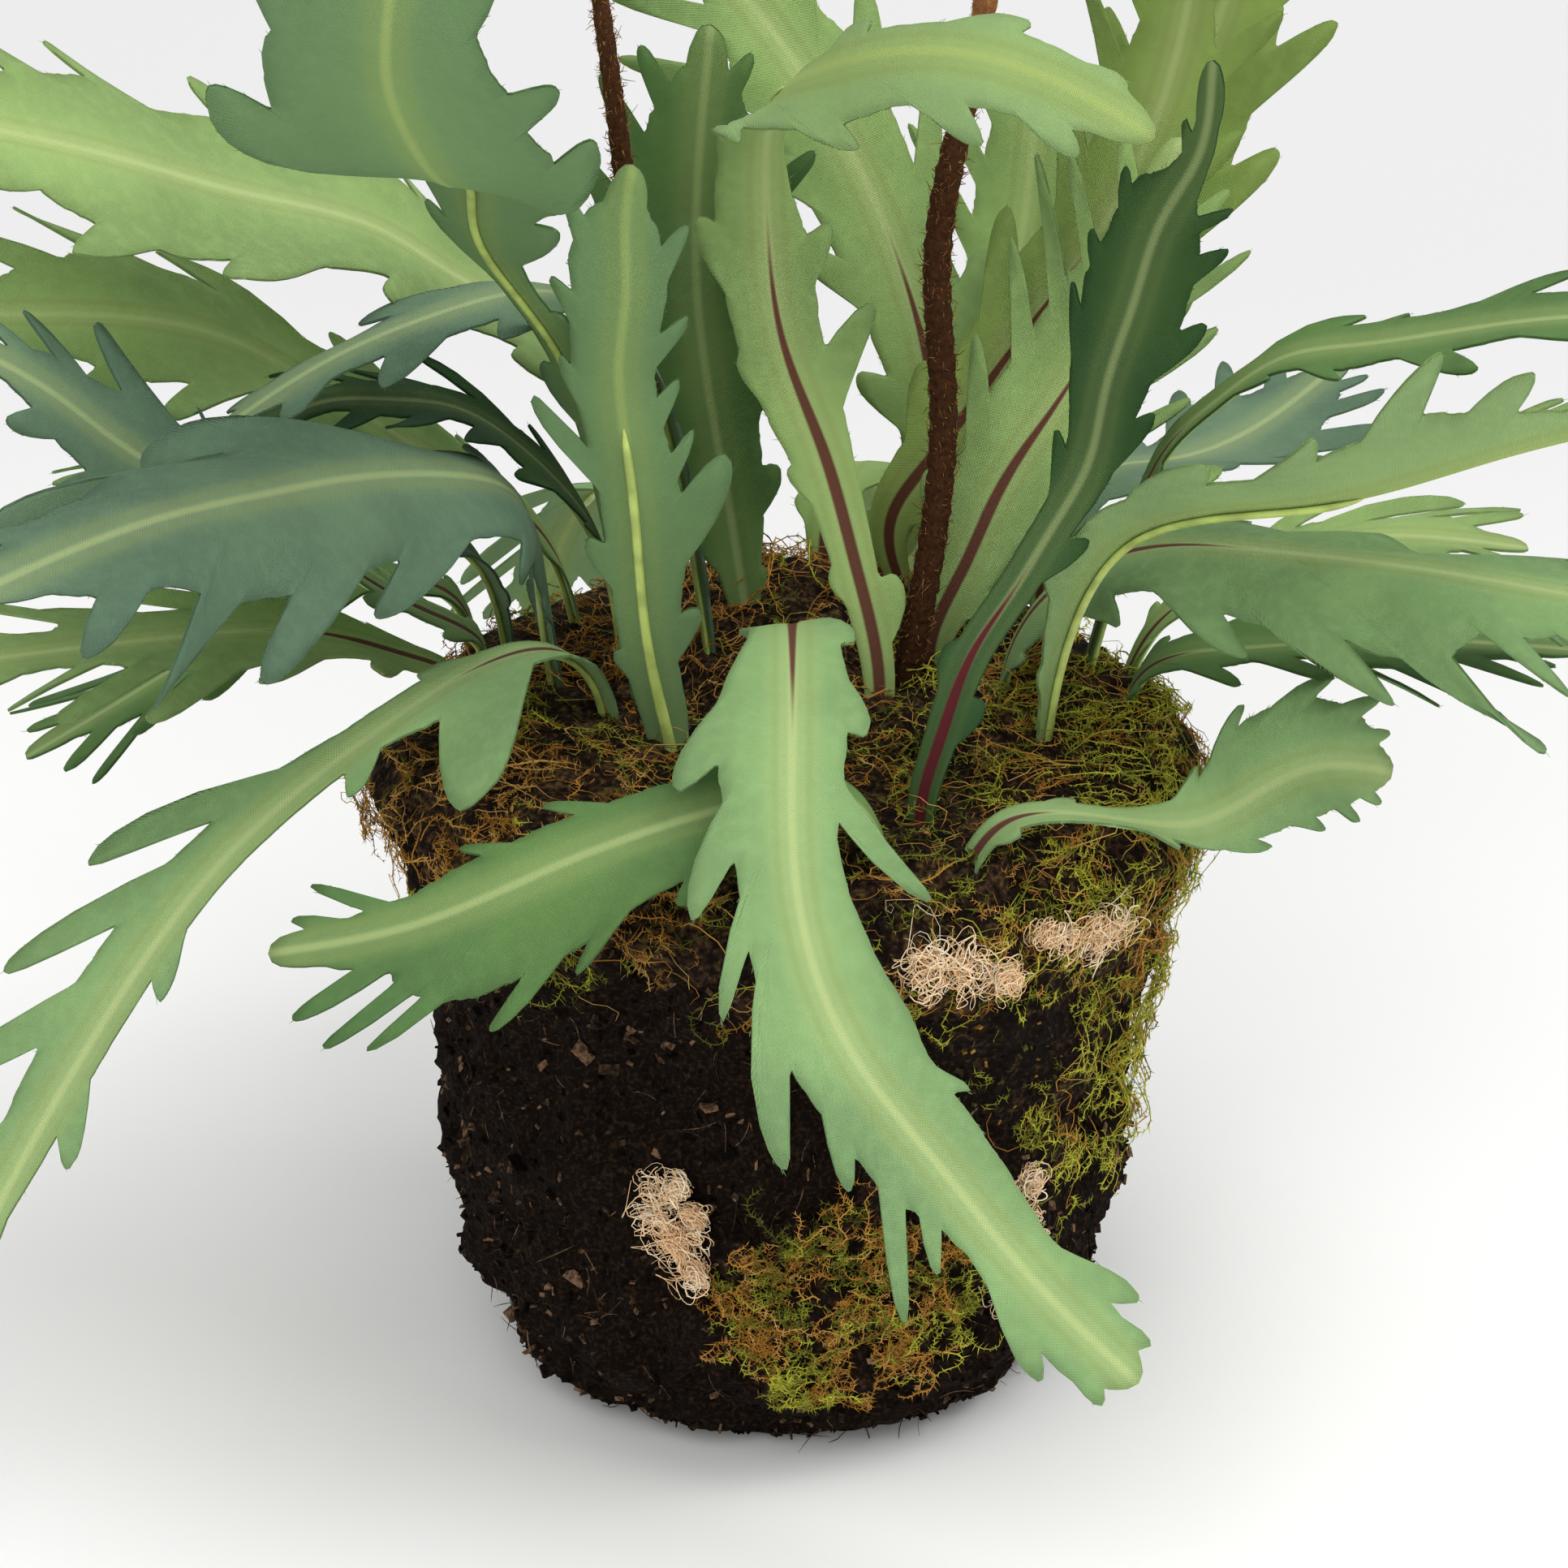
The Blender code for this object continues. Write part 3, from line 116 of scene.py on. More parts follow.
# A moss strand's barbs: radius and reach in mm, and how much they lean towards the tip.
BARB_RADIUS = 0.09
BARB_REACH = (0.6, 1.6)
BARB_LEAN = 0.6

# Seeds of the drawn places: the peat and the shapes of its chips, the upper moss and the chips in its
# window, the fibres over it, and the low patch.
PEAT_SEED, PEAT_CHIP_SEED = 41, 42
COVER_SEED, WINDOW_CHIP_SEED = 62, 63
MOSS_FIBRE_SEED = 72
PATCH_SEED = 82

# How deep the edge of a sheet of moss goes into the root ball, in mm.
EDGE_SUNK = 1.2

# Tan fibre tufts: name, bearings and heights it runs between, seed, half width and lift in mm.
TUFTS = [
    ("tan_fibre_front", (-109, -106), (45, 31), 109, 3.4, 1.6),
    ("tan_fibre_right", (-51, -53), (42, 24), 109, 2.6, 1.2),
    ("tan_fibre_rim", (-73, -40), (79, 75), 96, 3.6, 3.4),
]

# Points along a tuft's fibre, clumps in a tuft, and the root ball's radius where tufts lie.
TUFT_STATIONS = 30
TUFT_CLUMPS = 6
TUFT_RADIUS = 46.0

# Hairy stems: name, seed, route, radius, coil radius, the bearing that the coil winds towards and how
# green the stem grows towards its end.
STEMS = [
    ("right_hairy_stem", 16, [(14, 8, 82), (17, 4, 100), (20, 6, 128), (19, 4, 150), (23, 2, 175),
                              (26, 0, 200), (27, 0, 215)], 1.9, 5.5, 200, 1.0),
    ("left_hairy_stem", 15, [(-16, 7, 82), (-17, 5, 110), (-18, 1, 141), (-20, -4, 168), (-22, -7, 187),
                             (-25, -9, 212)], 1.5, 4.6, 330, 0.15),
]

# Turns of a stem's coil, sides of its core, share of its hairs that lie matted along it, and the radius
# of a free and a matted hair.
STEM_TURNS = 1.35
STEM_SIDES = 14
MATTED = 0.6
FREE_HAIR = 0.065
MATTED_HAIR = 0.09

# Form of the fronds, as the solids have it: share of the rib at which the plastic ends, length in mm at
# which a leaf shape has its own breadth, and the blade's least reach to one side in mm.
RIB_END = 0.68
NOMINAL_LENGTH = 160.0
BLADE_LEAST = 1.4

# A lobe's lean to the rib in degrees, and how much more it leans near the root.
LEAN = 34
ROOT_LEAN_EXTRA = 24

# The plastic rib, in mm: its sides, half its breadth, how much more that is at the root, half its depth,
# and how far it sinks into the blade.
RIB_SIDES = 6
RIB_HALF = 0.62
RIB_ROOT_EXTRA = 0.28
RIB_HALF_DEPTH = 0.42
RIB_SUNK = 0.08

# Radius of a frayed thread.
THREAD_RADIUS = 0.045

# The cloth's own map: mm of flat leaf to one unit of it, and where the rib of either face lies across it.
CLOTH_MAP = 250.0
TOP_MIDDLE = 0.25
UNDER_MIDDLE = 0.75

# Which of its piece's materials a face takes: on a frond, and on the sheets under the moss's strands.
CLOTH_TOP, CLOTH_UNDER, RIB = 0, 1, 2
GROUND = 1

# The camera, from the picture: its distance in mm from the point that it looks at, its elevation in
# degrees, its lens in mm, and the height in mm of that point, which is on the axis.
CAMERA_DISTANCE = 800.0
CAMERA_ELEVATION = 26.0
CAMERA_LENS = 143.4
LOOK_AT_HEIGHT = 79.0

# The floor reaches this far from the middle, in mm.
FLOOR_HALF = 4000.0


@dataclass
class Cut:
    """Leaf shape: half width of the web and the lobes on each side.

    Web: (share of the rib, mm along the lean). Lobe: (share of the rib, reach in mm
    along the lean, half width as a share of the rib).
    """
    tip: float
    web_left: list
    web_right: list
    left: list
    right: list


@dataclass
class Frond:
    """One frond: its leaf shape, the route of its rib, how its blade is turned and its cloth.

    route: points that the rib runs through, in mm. breadth: how broad it is for its length.
    mirrored: the cut's left side is on the right. seed: of its waves and ragged edge.
    bearing: direction in degrees that the frond points in, seen from above, from +X.
    roll: (share of the length, degrees) that the blade is turned about its rib.
    fold: degrees that the left and right halves rise from the rib.
    curl: degrees per mm that the left and right halves bend on outward.
    face: in place of bearing and roll, (share, direction) that the top side faces.
    cloth: name of its greens. red: share of the length at which the printed stripe ends.
    """
    name: str
    cut: Cut
    route: list
    bearing: float
    roll: tuple = ((0, 0), (1, 0))
    fold: tuple = (0, 0)
    curl: tuple = (0, 0)
    face: list = None
    breadth: float = 1.0
    mirrored: bool = False
    seed: int = 0
    cloth: str = "sage"
    red: float = 0.0


# Leaf shapes. A web that is the same on both sides stands before its shape.
HAND = Cut(
    tip=13,
    web_left=[(0, 2), (.07, 2.6), (.15, 4), (.25, 7), (.34, 11), (.42, 14), (.5, 15), (.6, 15), (.7, 14),
              (.8, 10), (.86, 8), (.92, 10), (1, 8)],
    web_right=[(0, 2), (.07, 2.6), (.15, 4), (.25, 7), (.35, 11), (.45, 12), (.55, 14), (.65, 14),
               (.75, 11), (.83, 7.5), (.9, 10), (1, 8)],
    left=[(.14, 6, .025), (.27, 15, .035), (.4, 24, .034), (.53, 30, .042), (.66, 33, .036),
          (.79, 26, .03), (.93, 17, .03)],
    right=[(.2, 9, .03), (.33, 19, .035), (.46, 27, .034), (.6, 25, .045), (.74, 26, .032),
           (.9, 18, .032)],
)
FAN_WEB = [(0, 2), (.07, 2.8), (.15, 5), (.25, 9), (.4, 14), (.55, 18), (.7, 19), (.85, 15), (1, 9)]
FAN = Cut(
    tip=14,
    web_left=FAN_WEB,
    web_right=FAN_WEB,
    left=[(.16, 7.5, .03), (.3, 17, .04), (.45, 26, .048), (.6, 32, .054), (.75, 31, .046),
          (.89, 22, .036)],
    right=[(.12, 5.5, .025), (.24, 13, .04), (.38, 22, .048), (.52, 30, .054), (.68, 33, .05),
           (.82, 26, .04), (.94, 17, .028)],
)
LONG_WEB = [(0, 2), (.07, 2.6), (.15, 4), (.25, 6), (.4, 9), (.55, 12), (.7, 13), (.85, 12), (1, 9)]
LONG = Cut(
    tip=14,
    web_left=LONG_WEB,
    web_right=LONG_WEB,
    left=[(.2, 9, .03), (.34, 18, .036), (.48, 27, .044), (.62, 31, .044), (.76, 30, .04),
          (.9, 20, .034)],
    right=[(.14, 6, .025), (.27, 13, .034), (.41, 22, .042), (.55, 30, .044), (.69, 32, .044),
           (.83, 25, .038), (.94, 16, .028)],
)
ARCH = Cut(
    tip=12,
    web_left=[(0, 2), (.1, 3), (.2, 5), (.28, 8), (.33, 14), (.4, 15), (.47, 13), (.54, 13), (.6, 14),
              (.7, 13), (.76, 13), (.81, 9), (.86, 8), (.9, 11), (.95, 14), (1, 12)],
    web_right=[(0, 2), (.1, 3), (.2, 5), (.28, 8), (.34, 11), (.42, 11), (.48, 10), (.55, 14), (.62, 16),
               (.7, 13), (.77, 12), (.83, 11), (.88, 10), (.92, 12), (1, 12)],
    left=[(.22, 9, .03), (.36, 23, .034), (.45, 24, .03), (.525, 23, .02), (.595, 28, .034),
          (.69, 19, .026), (.757, 28, .02), (.81, 16, .018), (.905, 18, .028), (.965, 16, .022)],
    right=[(.27, 11, .03), (.35, 15, .03), (.44, 29, .02), (.71, 16, .02), (.92, 18, .03),
           (.97, 15, .02)],
)
FINGERS = Cut(
    tip=12,
    web_left=[(0, 2), (.1, 3), (.2, 5), (.3, 8), (.4, 13), (.5, 19), (.62, 20), (.68, 20), (.75, 19),
              (.82, 15), (.88, 10), (1, 8)],
    web_right=[(0, 2), (.1, 3), (.2, 4), (.3, 6), (.45, 9), (.62, 10), (.75, 9), (.85, 7), (1, 7)],
    left=[(.39, 19, .035), (.5, 26, .036), (.6, 29, .036), (.755, 27, .024), (.815, 26, .028),
          (.9, 20, .03)],
    right=[(.36, 12, .03), (.54, 15, .026), (.68, 14, .03), (.9, 16, .02), (.965, 12, .018)],
)
TALL = Cut(
    tip=12,
    web_left=[(0, 2), (.06, 3.4), (.12, 4), (.25, 5.4), (.35, 6.6), (.45, 8), (.55, 9), (.65, 11),
              (.75, 13), (.85, 15), (.93, 12), (1, 8)],
    web_right=[(0, 2), (.06, 3), (.12, 4.2), (.22, 5), (.3, 8), (.38, 12), (.47, 12), (.57, 10), (.65, 9),
               (.75, 9), (.85, 11), (.93, 10), (1, 8)],
    left=[(.22, 7, .03), (.38, 12, .04), (.54, 22, .035), (.66, 15, .035), (.77, 19, .036), (.9, 17, .03)],
    right=[(.25, 11, .04), (.405, 24, .06), (.51, 17, .03), (.62, 15, .036), (.74, 16, .036),
           (.87, 17, .034)],
)
STRAP = Cut(
    tip=12,
    web_left=[(0, 2), (.1, 2.6), (.2, 3.2), (.3, 3.8), (.4, 4.4), (.49, 5), (.56, 10), (.64, 11), (.72, 9),
              (.8, 11), (.9, 11), (1, 9)],
    web_right=[(0, 2), (.1, 2.6), (.2, 3.2), (.3, 3.8), (.4, 4.4), (.48, 5), (.54, 8), (.62, 10), (.7, 8),
               (.8, 10), (.9, 10), (1, 9)],
    left=[(.2, 5, .03), (.53, 15, .036), (.62, 13.5, .018), (.79, 20, .03), (.92, 16, .03)],
    right=[(.13, 4.2, .02), (.3, 6, .025), (.5, 11, .026), (.59, 14, .026), (.74, 19, .034),
           (.88, 17, .032)],
)
SPEAR = Cut(
    tip=10,
    web_left=[(0, 2), (.1, 2.4), (.3, 4), (.45, 5), (.52, 7), (.58, 11), (.66, 13), (.74, 11), (.82, 10),
              (.88, 6), (.93, 4.5), (1, 5)],
    web_right=[(0, 2), (.1, 2.4), (.3, 4), (.45, 5), (.52, 7), (.58, 10), (.66, 12), (.74, 12), (.82, 9),
               (.88, 5), (.93, 4), (1, 5)],
    left=[(.25, 5.5, .03), (.48, 11, .026), (.6, 17, .03), (.7, 15, .026), (.79, 14, .02), (.94, 8, .016)],
    right=[(.2, 6, .03), (.4, 9, .03), (.53, 13, .03), (.63, 18, .036), (.74, 17, .03), (.83, 13, .02)],
)
TWIST = Cut(
    tip=13,
    web_left=[(0, 2), (.07, 2.6), (.15, 3.4), (.22, 5), (.3, 8), (.38, 10), (.46, 12), (.52, 11), (.6, 14),
              (.7, 14), (.8, 12), (.93, 12), (1, 10)],
    web_right=[(0, 2), (.07, 2.6), (.15, 3.2), (.24, 4.5), (.3, 7), (.38, 9), (.44, 9), (.5, 6), (.56, 4),
               (.66, 4), (.8, 6), (.93, 9), (1, 10)],
    left=[(.15, 5, .02), (.24, 7.5, .022), (.33, 10, .03), (.42, 16, .036), (.58, 19, .034),
          (.69, 20, .03), (.83, 20, .034), (.93, 17, .03)],
    right=[(.12, 6.5, .03), (.31, 19, .026), (.42, 14, .03), (.76, 9, .03), (.88, 12, .03), (.965, 12, .02)],
)
PADDLE = Cut(
    tip=13,
    web_left=[(0, 2), (.1, 3), (.25, 4), (.4, 5), (.52, 7), (.6, 13), (.7, 20), (.8, 20), (.9, 16), (1, 11)],
    web_right=[(0, 2), (.1, 3), (.25, 4), (.4, 4.5), (.52, 6), (.6, 9), (.7, 12), (.8, 14), (.9, 13),
               (1, 11)],
    left=[(.3, 7, .03), (.56, 15, .03), (.655, 24, .036), (.765, 26, .04), (.87, 22, .036), (.95, 16, .026)],
    right=[(.2, 6, .03), (.46, 9, .03), (.64, 15, .036), (.76, 18, .036), (.88, 18, .032), (.96, 15, .022)],
)
BROAD_WEB = [(0, 2), (.08, 3), (.16, 5), (.26, 9), (.36, 14), (.48, 20), (.6, 24), (.75, 24), (.88, 18),
             (1, 11)]
BROAD = Cut(
    tip=15,
    web_left=BROAD_WEB,
    web_right=BROAD_WEB,
    left=[(.16, 8, .03), (.3, 18, .045), (.45, 29, .055), (.61, 34, .06), (.77, 32, .05), (.91, 22, .036)],
    right=[(.12, 6, .025), (.23, 13, .04), (.37, 24, .052), (.53, 33, .06), (.69, 34, .055), (.84, 27, .044),
           (.95, 18, .026)],
)
BANNER_WEB = [(0, 2), (.1, 2.6), (.25, 3.4), (.42, 4.5), (.5, 9), (.58, 18), (.68, 24), (.8, 24),
              (.9, 18), (1, 11)]
BANNER = Cut(
    tip=15,
    web_left=BANNER_WEB,
    web_right=BANNER_WEB,
    left=[(.2, 5, .025), (.37, 8, .03), (.5, 18, .04), (.63, 32, .05), (.78, 32, .045), (.92, 22, .034)],
    right=[(.3, 7, .03), (.46, 13, .03), (.57, 28, .045), (.71, 34, .05), (.86, 27, .04), (.96, 17, .024)],
)
SWEEP = Cut(
    tip=12,
    web_left=[(0, 2), (.1, 2.6), (.2, 6), (.32, 7), (.4, 4), (.6, 3.5), (.8, 4), (1, 5)],
    web_right=[(0, 2), (.1, 2.6), (.25, 3.5), (.4, 5), (.48, 8), (.6, 9), (.75, 9), (.9, 8), (1, 6)],
    left=[(.265, 26, .055), (.42, 9, .025), (.7, 8, .03), (.86, 10, .03)],
    right=[(.28, 6, .03), (.49, 25, .036), (.62, 25, .04), (.76, 22, .036), (.9, 16, .03)],
)

# Waypoints of each rib from its root out, chosen on the photo.
FRONDS = [
    Frond("front_arch_frond", ARCH, [(2, -10, 80), (1, -30, 115), (1, -50, 110), (2, -66, 94), (8, -74, 80),
          (18, -79, 68), (27, -82, 57), (42, -86, 42)], bearing=285, curl=(-.6, -.6), mirrored=True,
          breadth=1, seed=1, cloth="sage", red=.42),
    Frond("front_left_low_frond", FINGERS, [(15, -39, 80), (8, -43, 98), (-8, -52, 101), (-26, -58, 97),
          (-43, -64, 92), (-61, -66, 89)], bearing=200, roll=((0, 0), (.3, 30), (1, 35)), breadth=1.25,
          seed=2, cloth="leaf", red=0),
    Frond("front_right_low_frond", PADDLE, [(20, -40, 80), (28, -42, 95), (40, -40, 94), (54, -27, 88),
          (66, -16, 89), (77, -9, 85)], bearing=10, roll=((0, -20), (.4, 0), (.6, -50), (1, -60)), seed=3,
          cloth="sage", red=.3),
    Frond("left_sweep_frond", SWEEP, [(-22, -3, 82), (-23, -4, 94), (-28, -9, 102), (-37, -17, 104),
          (-48, -27, 101), (-70, -50, 90), (-81, -62, 78), (-93, -74, 60), (-99, -80, 49)], bearing=215,
          roll=((0, 0), (.3, -5), (.5, 15), (1, 25)), breadth=1.3, seed=4, cloth="sage", red=.3),
    Frond("centre_left_tall_frond", TALL, [(-13, -9, 82), (-15, -10, 93), (-17, -12, 105), (-18, -14, 118),
          (-19, -16, 131), (-20, -17, 144), (-19, -18, 154), (-19, -18, 163), (-18, -18, 170)], bearing=270,
          breadth=1.1, mirrored=True, seed=5, cloth="leaf", red=.1),
    Frond("centre_twist_frond", TWIST, [(12, 0, 84), (12, 0, 95), (9, 2, 109), (5, 5, 123), (0, 6, 137),
          (-2, 5, 153), (-2, 0, 166), (0, -7, 175), (4, -14, 180), (11, -22, 185), (20, -27, 187),
          (28, -30, 186), (34, -32, 184), (43, -34, 179)], bearing=80, face=[(0, (.2, -1, .2)),
          (.44, (0, -1, .1)), (.52, (.2, -.8, -.6)), (.58, (.2, -.1, -1)), (.64, (0, .6, -.8)),
          (.72, (0, .8, -.6)), (1, (.1, .85, -.4))], seed=6, cloth="pale", red=.5),
    Frond("right_dark_tall_frond", SPEAR, [(17, -32, 80), (17, -32, 93), (19, -31, 100), (23, -27, 110),
          (28, -22, 116), (33, -18, 123), (37, -16, 130), (39, -16, 140), (42, -18, 152), (45, -21, 164),
          (49, -25, 174), (50, -27, 186)], bearing=60, curl=(-2, -2), breadth=1.2, seed=7, cloth="deep",
          red=.4),
    Frond("left_near_frond", FAN, [(-28, 8, 82), (-30, 6, 98), (-31, -1, 114), (-34, -11, 125),
          (-41, -23, 132), (-51, -38, 138), (-60, -52, 142), (-71, -66, 145), (-90, -90, 146)], bearing=205,
          roll=((0, 0), (.4, 20), (1, 20)), curl=(-3, -3.5), breadth=1.3, seed=8, cloth="grey", red=0),
    Frond("top_left_near_frond", BANNER, [(-17, -1, 84), (-20, -3, 112), (-27, -9, 142), (-36, -25, 164),
          (-36, -40, 176), (-38, -54, 181), (-41, -66, 190), (-43, -76, 201), (-42, -84, 213),
          (-40, -88, 226)], bearing=240, face=[(0, (.6, .8, 0)), (.5, (.5, .8, .4)), (.75, (.2, 1, .3)),
          (1, (.1, 1, .2))], breadth=1, seed=9, cloth="leaf", red=0),
    Frond("upper_left_frond", BROAD, [(-14, 22, 84), (-18, 27, 110), (-30, 26, 131), (-42, 23, 140),
          (-50, 17, 148), (-66, 4, 158), (-80, -8, 167), (-103, -25, 179)], bearing=185, roll=((0, 0),
          (1, 18)), breadth=1.1, seed=10, cloth="pale", red=.35),
    Frond("mid_left_frond", FAN, [(-26, 26, 84), (-31, 24, 103), (-42, 18, 115), (-57, 12, 128),
          (-69, 8, 137), (-86, -1, 144), (-106, -12, 148)], bearing=190, roll=((0, 0), (1, 25)),
          breadth=1.25, seed=11, cloth="pale", red=.4),
    Frond("low_left_red_frond", LONG, [(-40, 18, 82), (-39, 15, 92), (-46, 12, 98), (-58, 6, 109),
          (-69, 1, 119), (-77, -2, 123), (-91, -10, 122)], bearing=190, seed=12, cloth="sage", red=.6),
    Frond("left_cream_frond", FAN, [(-35, 20, 84), (-37, 14, 100), (-43, 4, 112), (-54, -6, 117),
          (-64, -16, 122), (-71, -22, 129), (-80, -27, 138), (-87, -33, 147), (-96, -40, 156)], bearing=190,
          roll=((0, -10), (.4, -10), (.6, 20), (1, 25)), breadth=1, seed=13, cloth="grey", red=.3),
    Frond("left_fingers_frond", HAND, [(-20, 10, 84), (-24, 12, 109), (-32, 9, 121), (-41, 3, 130),
          (-49, -4, 134), (-57, -10, 136), (-69, -19, 131)], bearing=190, breadth=.9, seed=14, cloth="deep",
          red=.2),
    Frond("left_drooping_frond", FAN, [(-8, 10, 84), (-14, 12, 123), (-20, 9, 139), (-28, 4, 145),
          (-40, -6, 147), (-56, -17, 144), (-70, -25, 137)], bearing=200, curl=(-4, -4), breadth=.65,
          seed=15, cloth="grey", red=0),
    Frond("left_low_pale_frond", HAND, [(-42, 5, 82), (-42, 3, 93), (-47, 0, 97), (-58, -8, 104),
          (-75, -20, 109), (-105, -38, 113)], bearing=190, breadth=1.35, seed=16, cloth="pale", red=.5),
    Frond("left_low_behind_frond", LONG, [(-40, 26, 84), (-43, 25, 94), (-56, 24, 97), (-66, 22, 94),
          (-78, 18, 88), (-98, 8, 79)], bearing=185, breadth=1.2, seed=17, cloth="leaf", red=.3),
    Frond("back_centre_frond", HAND, [(8, 36, 86), (19, 37, 106), (17, 38, 129), (8, 41, 151),
          (-5, 44, 170), (-21, 38, 191)], bearing=90, roll=((0, -20), (1, -20)), breadth=1.2, seed=18,
          cloth="pale", red=.5),
    Frond("back_right_frond", HAND, [(20, 28, 86), (14, 24, 106), (19, 22, 115), (31, 26, 131),
          (42, 30, 146), (50, 30, 169), (51, 18, 197)], bearing=60, breadth=1.1, seed=19,
          cloth="bright", red=.55),
    Frond("right_red_rib_frond", HAND, [(19, 13, 84), (19, 12, 94), (23, 12, 104), (28, 14, 115),
          (34, 16, 124), (44, 22, 141), (50, 24, 158)], bearing=70, breadth=1.2, seed=20, cloth="pale",
          red=.7),
    Frond("top_right_frond", FAN, [(34, 22, 86), (34, 28, 110), (41, 35, 129), (51, 42, 153), (58, 44, 174),
          (63, 40, 192)], bearing=40, roll=((0, 0), (1, -50)), breadth=1, seed=21, cloth="bright", red=.35),
    Frond("right_upper_frond", STRAP, [(38, 12, 86), (44, 15, 108), (48, 12, 120), (54, 5, 130),
          (62, 0, 138), (70, -6, 142), (91, -20, 151), (107, -28, 155)], bearing=0, breadth=1.25, seed=22,
          cloth="leaf", red=.4),
    Frond("right_mid_near_frond", FAN, [(32, -8, 84), (35, -10, 104), (41, -14, 118), (50, -22, 126),
          (64, -32, 132), (84, -50, 146), (102, -64, 157)], bearing=345, roll=((0, 0), (.3, 45), (1, 60)),
          fold=(45, 0), breadth=1.3, seed=23, cloth="pale", red=.35),
    Frond("right_red_low_frond", FAN, [(27, 7, 84), (28, 6, 92), (34, 3, 105), (40, 3, 109), (50, -1, 113),
          (59, -7, 115), (68, -14, 117), (79, -20, 118), (106, -35, 119)], bearing=355, curl=(-3, -4),
          breadth=1.6, seed=24, cloth="sage", red=.5),
    Frond("right_low_behind_frond", LONG, [(43, 17, 82), (48, 18, 93), (59, 24, 98), (73, 28, 101),
          (97, 25, 101)], bearing=0, breadth=1.1, seed=25, cloth="pale", red=.3),
    Frond("right_low_pale_frond", LONG, [(42, 6, 80), (47, 6, 93), (58, 7, 95), (73, 3, 98),
          (101, -9, 102)], bearing=350, breadth=1.3, seed=26, cloth="leaf", red=.3),
    Frond("far_right_frond", FAN, [(34, 36, 84), (40, 50, 99), (51, 66, 96), (69, 92, 92), (80, 108, 94)],
          bearing=60, seed=27, cloth="grey", red=.3),
    Frond("back_lobed_frond", LONG, [(22, 40, 86), (25, 47, 105), (31, 60, 127), (34, 66, 156)], bearing=80,
          breadth=1.2, seed=28, cloth="pale", red=.5),
    Frond("back_left_dark_frond", FAN, [(-4, 22, 86), (-7, 23, 107), (-11, 20, 138), (-11, 17, 151),
          (-9, 12, 177)], bearing=80, seed=29, cloth="leaf", red=0),
    Frond("back_low_left_frond", LONG, [(-14, 40, 84), (-17, 45, 95), (-22, 58, 96), (-30, 76, 82),
          (-36, 88, 60)], bearing=110, seed=30, cloth="sage", red=.35),
    Frond("back_low_right_frond", FAN, [(5, 44, 84), (6, 50, 96), (9, 63, 97), (15, 81, 82), (20, 92, 58)],
          bearing=75, seed=31, cloth="pale", red=.35),
]


class FernSizes(PropertyGroup):
    """Sizes of the dressing that a user would change."""
    blade_thick: FloatProperty(name="Cloth thickness", description="Thickness of a frond's blade, in mm",
                               default=0.36, min=0.1, max=0.6)
    thread_pitch: FloatProperty(name="Thread pitch", description="Distance between woven threads, in mm",
                                default=0.28, min=0.1, max=1.0)
    stripe_half: FloatProperty(name="Stripe half width", description="Half width of the printed stripe, mm",
                               default=0.80, min=0.1, max=2.0)
    frond_rows: IntProperty(name="Frond rows", description="Rows of points along a frond",
                            default=156, min=40, max=400)
    frond_columns: IntProperty(name="Frond columns", description="Columns of points on each half of a frond",
                               default=6, min=3, max=20)
    loose_threads: IntProperty(name="Loose threads", description="Frayed threads along a frond's edge",
                               default=70, min=0, max=600)
    stem_hairs: IntProperty(name="Stem hairs", description="Hairs on each hairy stem", default=3400, min=0,
                            max=6000)
    hair_length: FloatProperty(name="Hair length", description="Length of a stem's hair, in mm", default=1.5,
                               min=0.3, max=4.0)
    sprigs: IntProperty(name="Short strands", description="Short strands on the upper moss", default=1560,
                        min=0, max=4000)
    patch_sprigs: IntProperty(name="Patch sprigs", description="Strands on the low patch of moss",
                              default=440, min=0, max=2000)
    moss_fibres: IntProperty(name="Moss fibres", description="Bare fibres that lie over the moss",
                             default=800, min=0, max=4000)
    long_strands: IntProperty(name="Long strands", description="Long feathered strands on the upper moss",
                              default=500, min=0, max=1000)
    crumbs: IntProperty(name="Peat crumbs", description="Loose grains on the peat", default=4700, min=0,
                        max=6000)
    peat_fibres: IntProperty(name="Peat fibres", description="Short fibres that stick out of the peat",
                             default=1000, min=0, max=4000)
    tuft_fibres: IntProperty(name="Tuft fibres", description="Curled fibres in each tan tuft", default=138,
                             min=4, max=300)


def colour(label, note, value):
    """Colour property with a name, what it colours and its default."""
    return FloatVectorProperty(name=label, description=note, default=value, subtype="COLOR", size=3, min=0,
                               max=1)


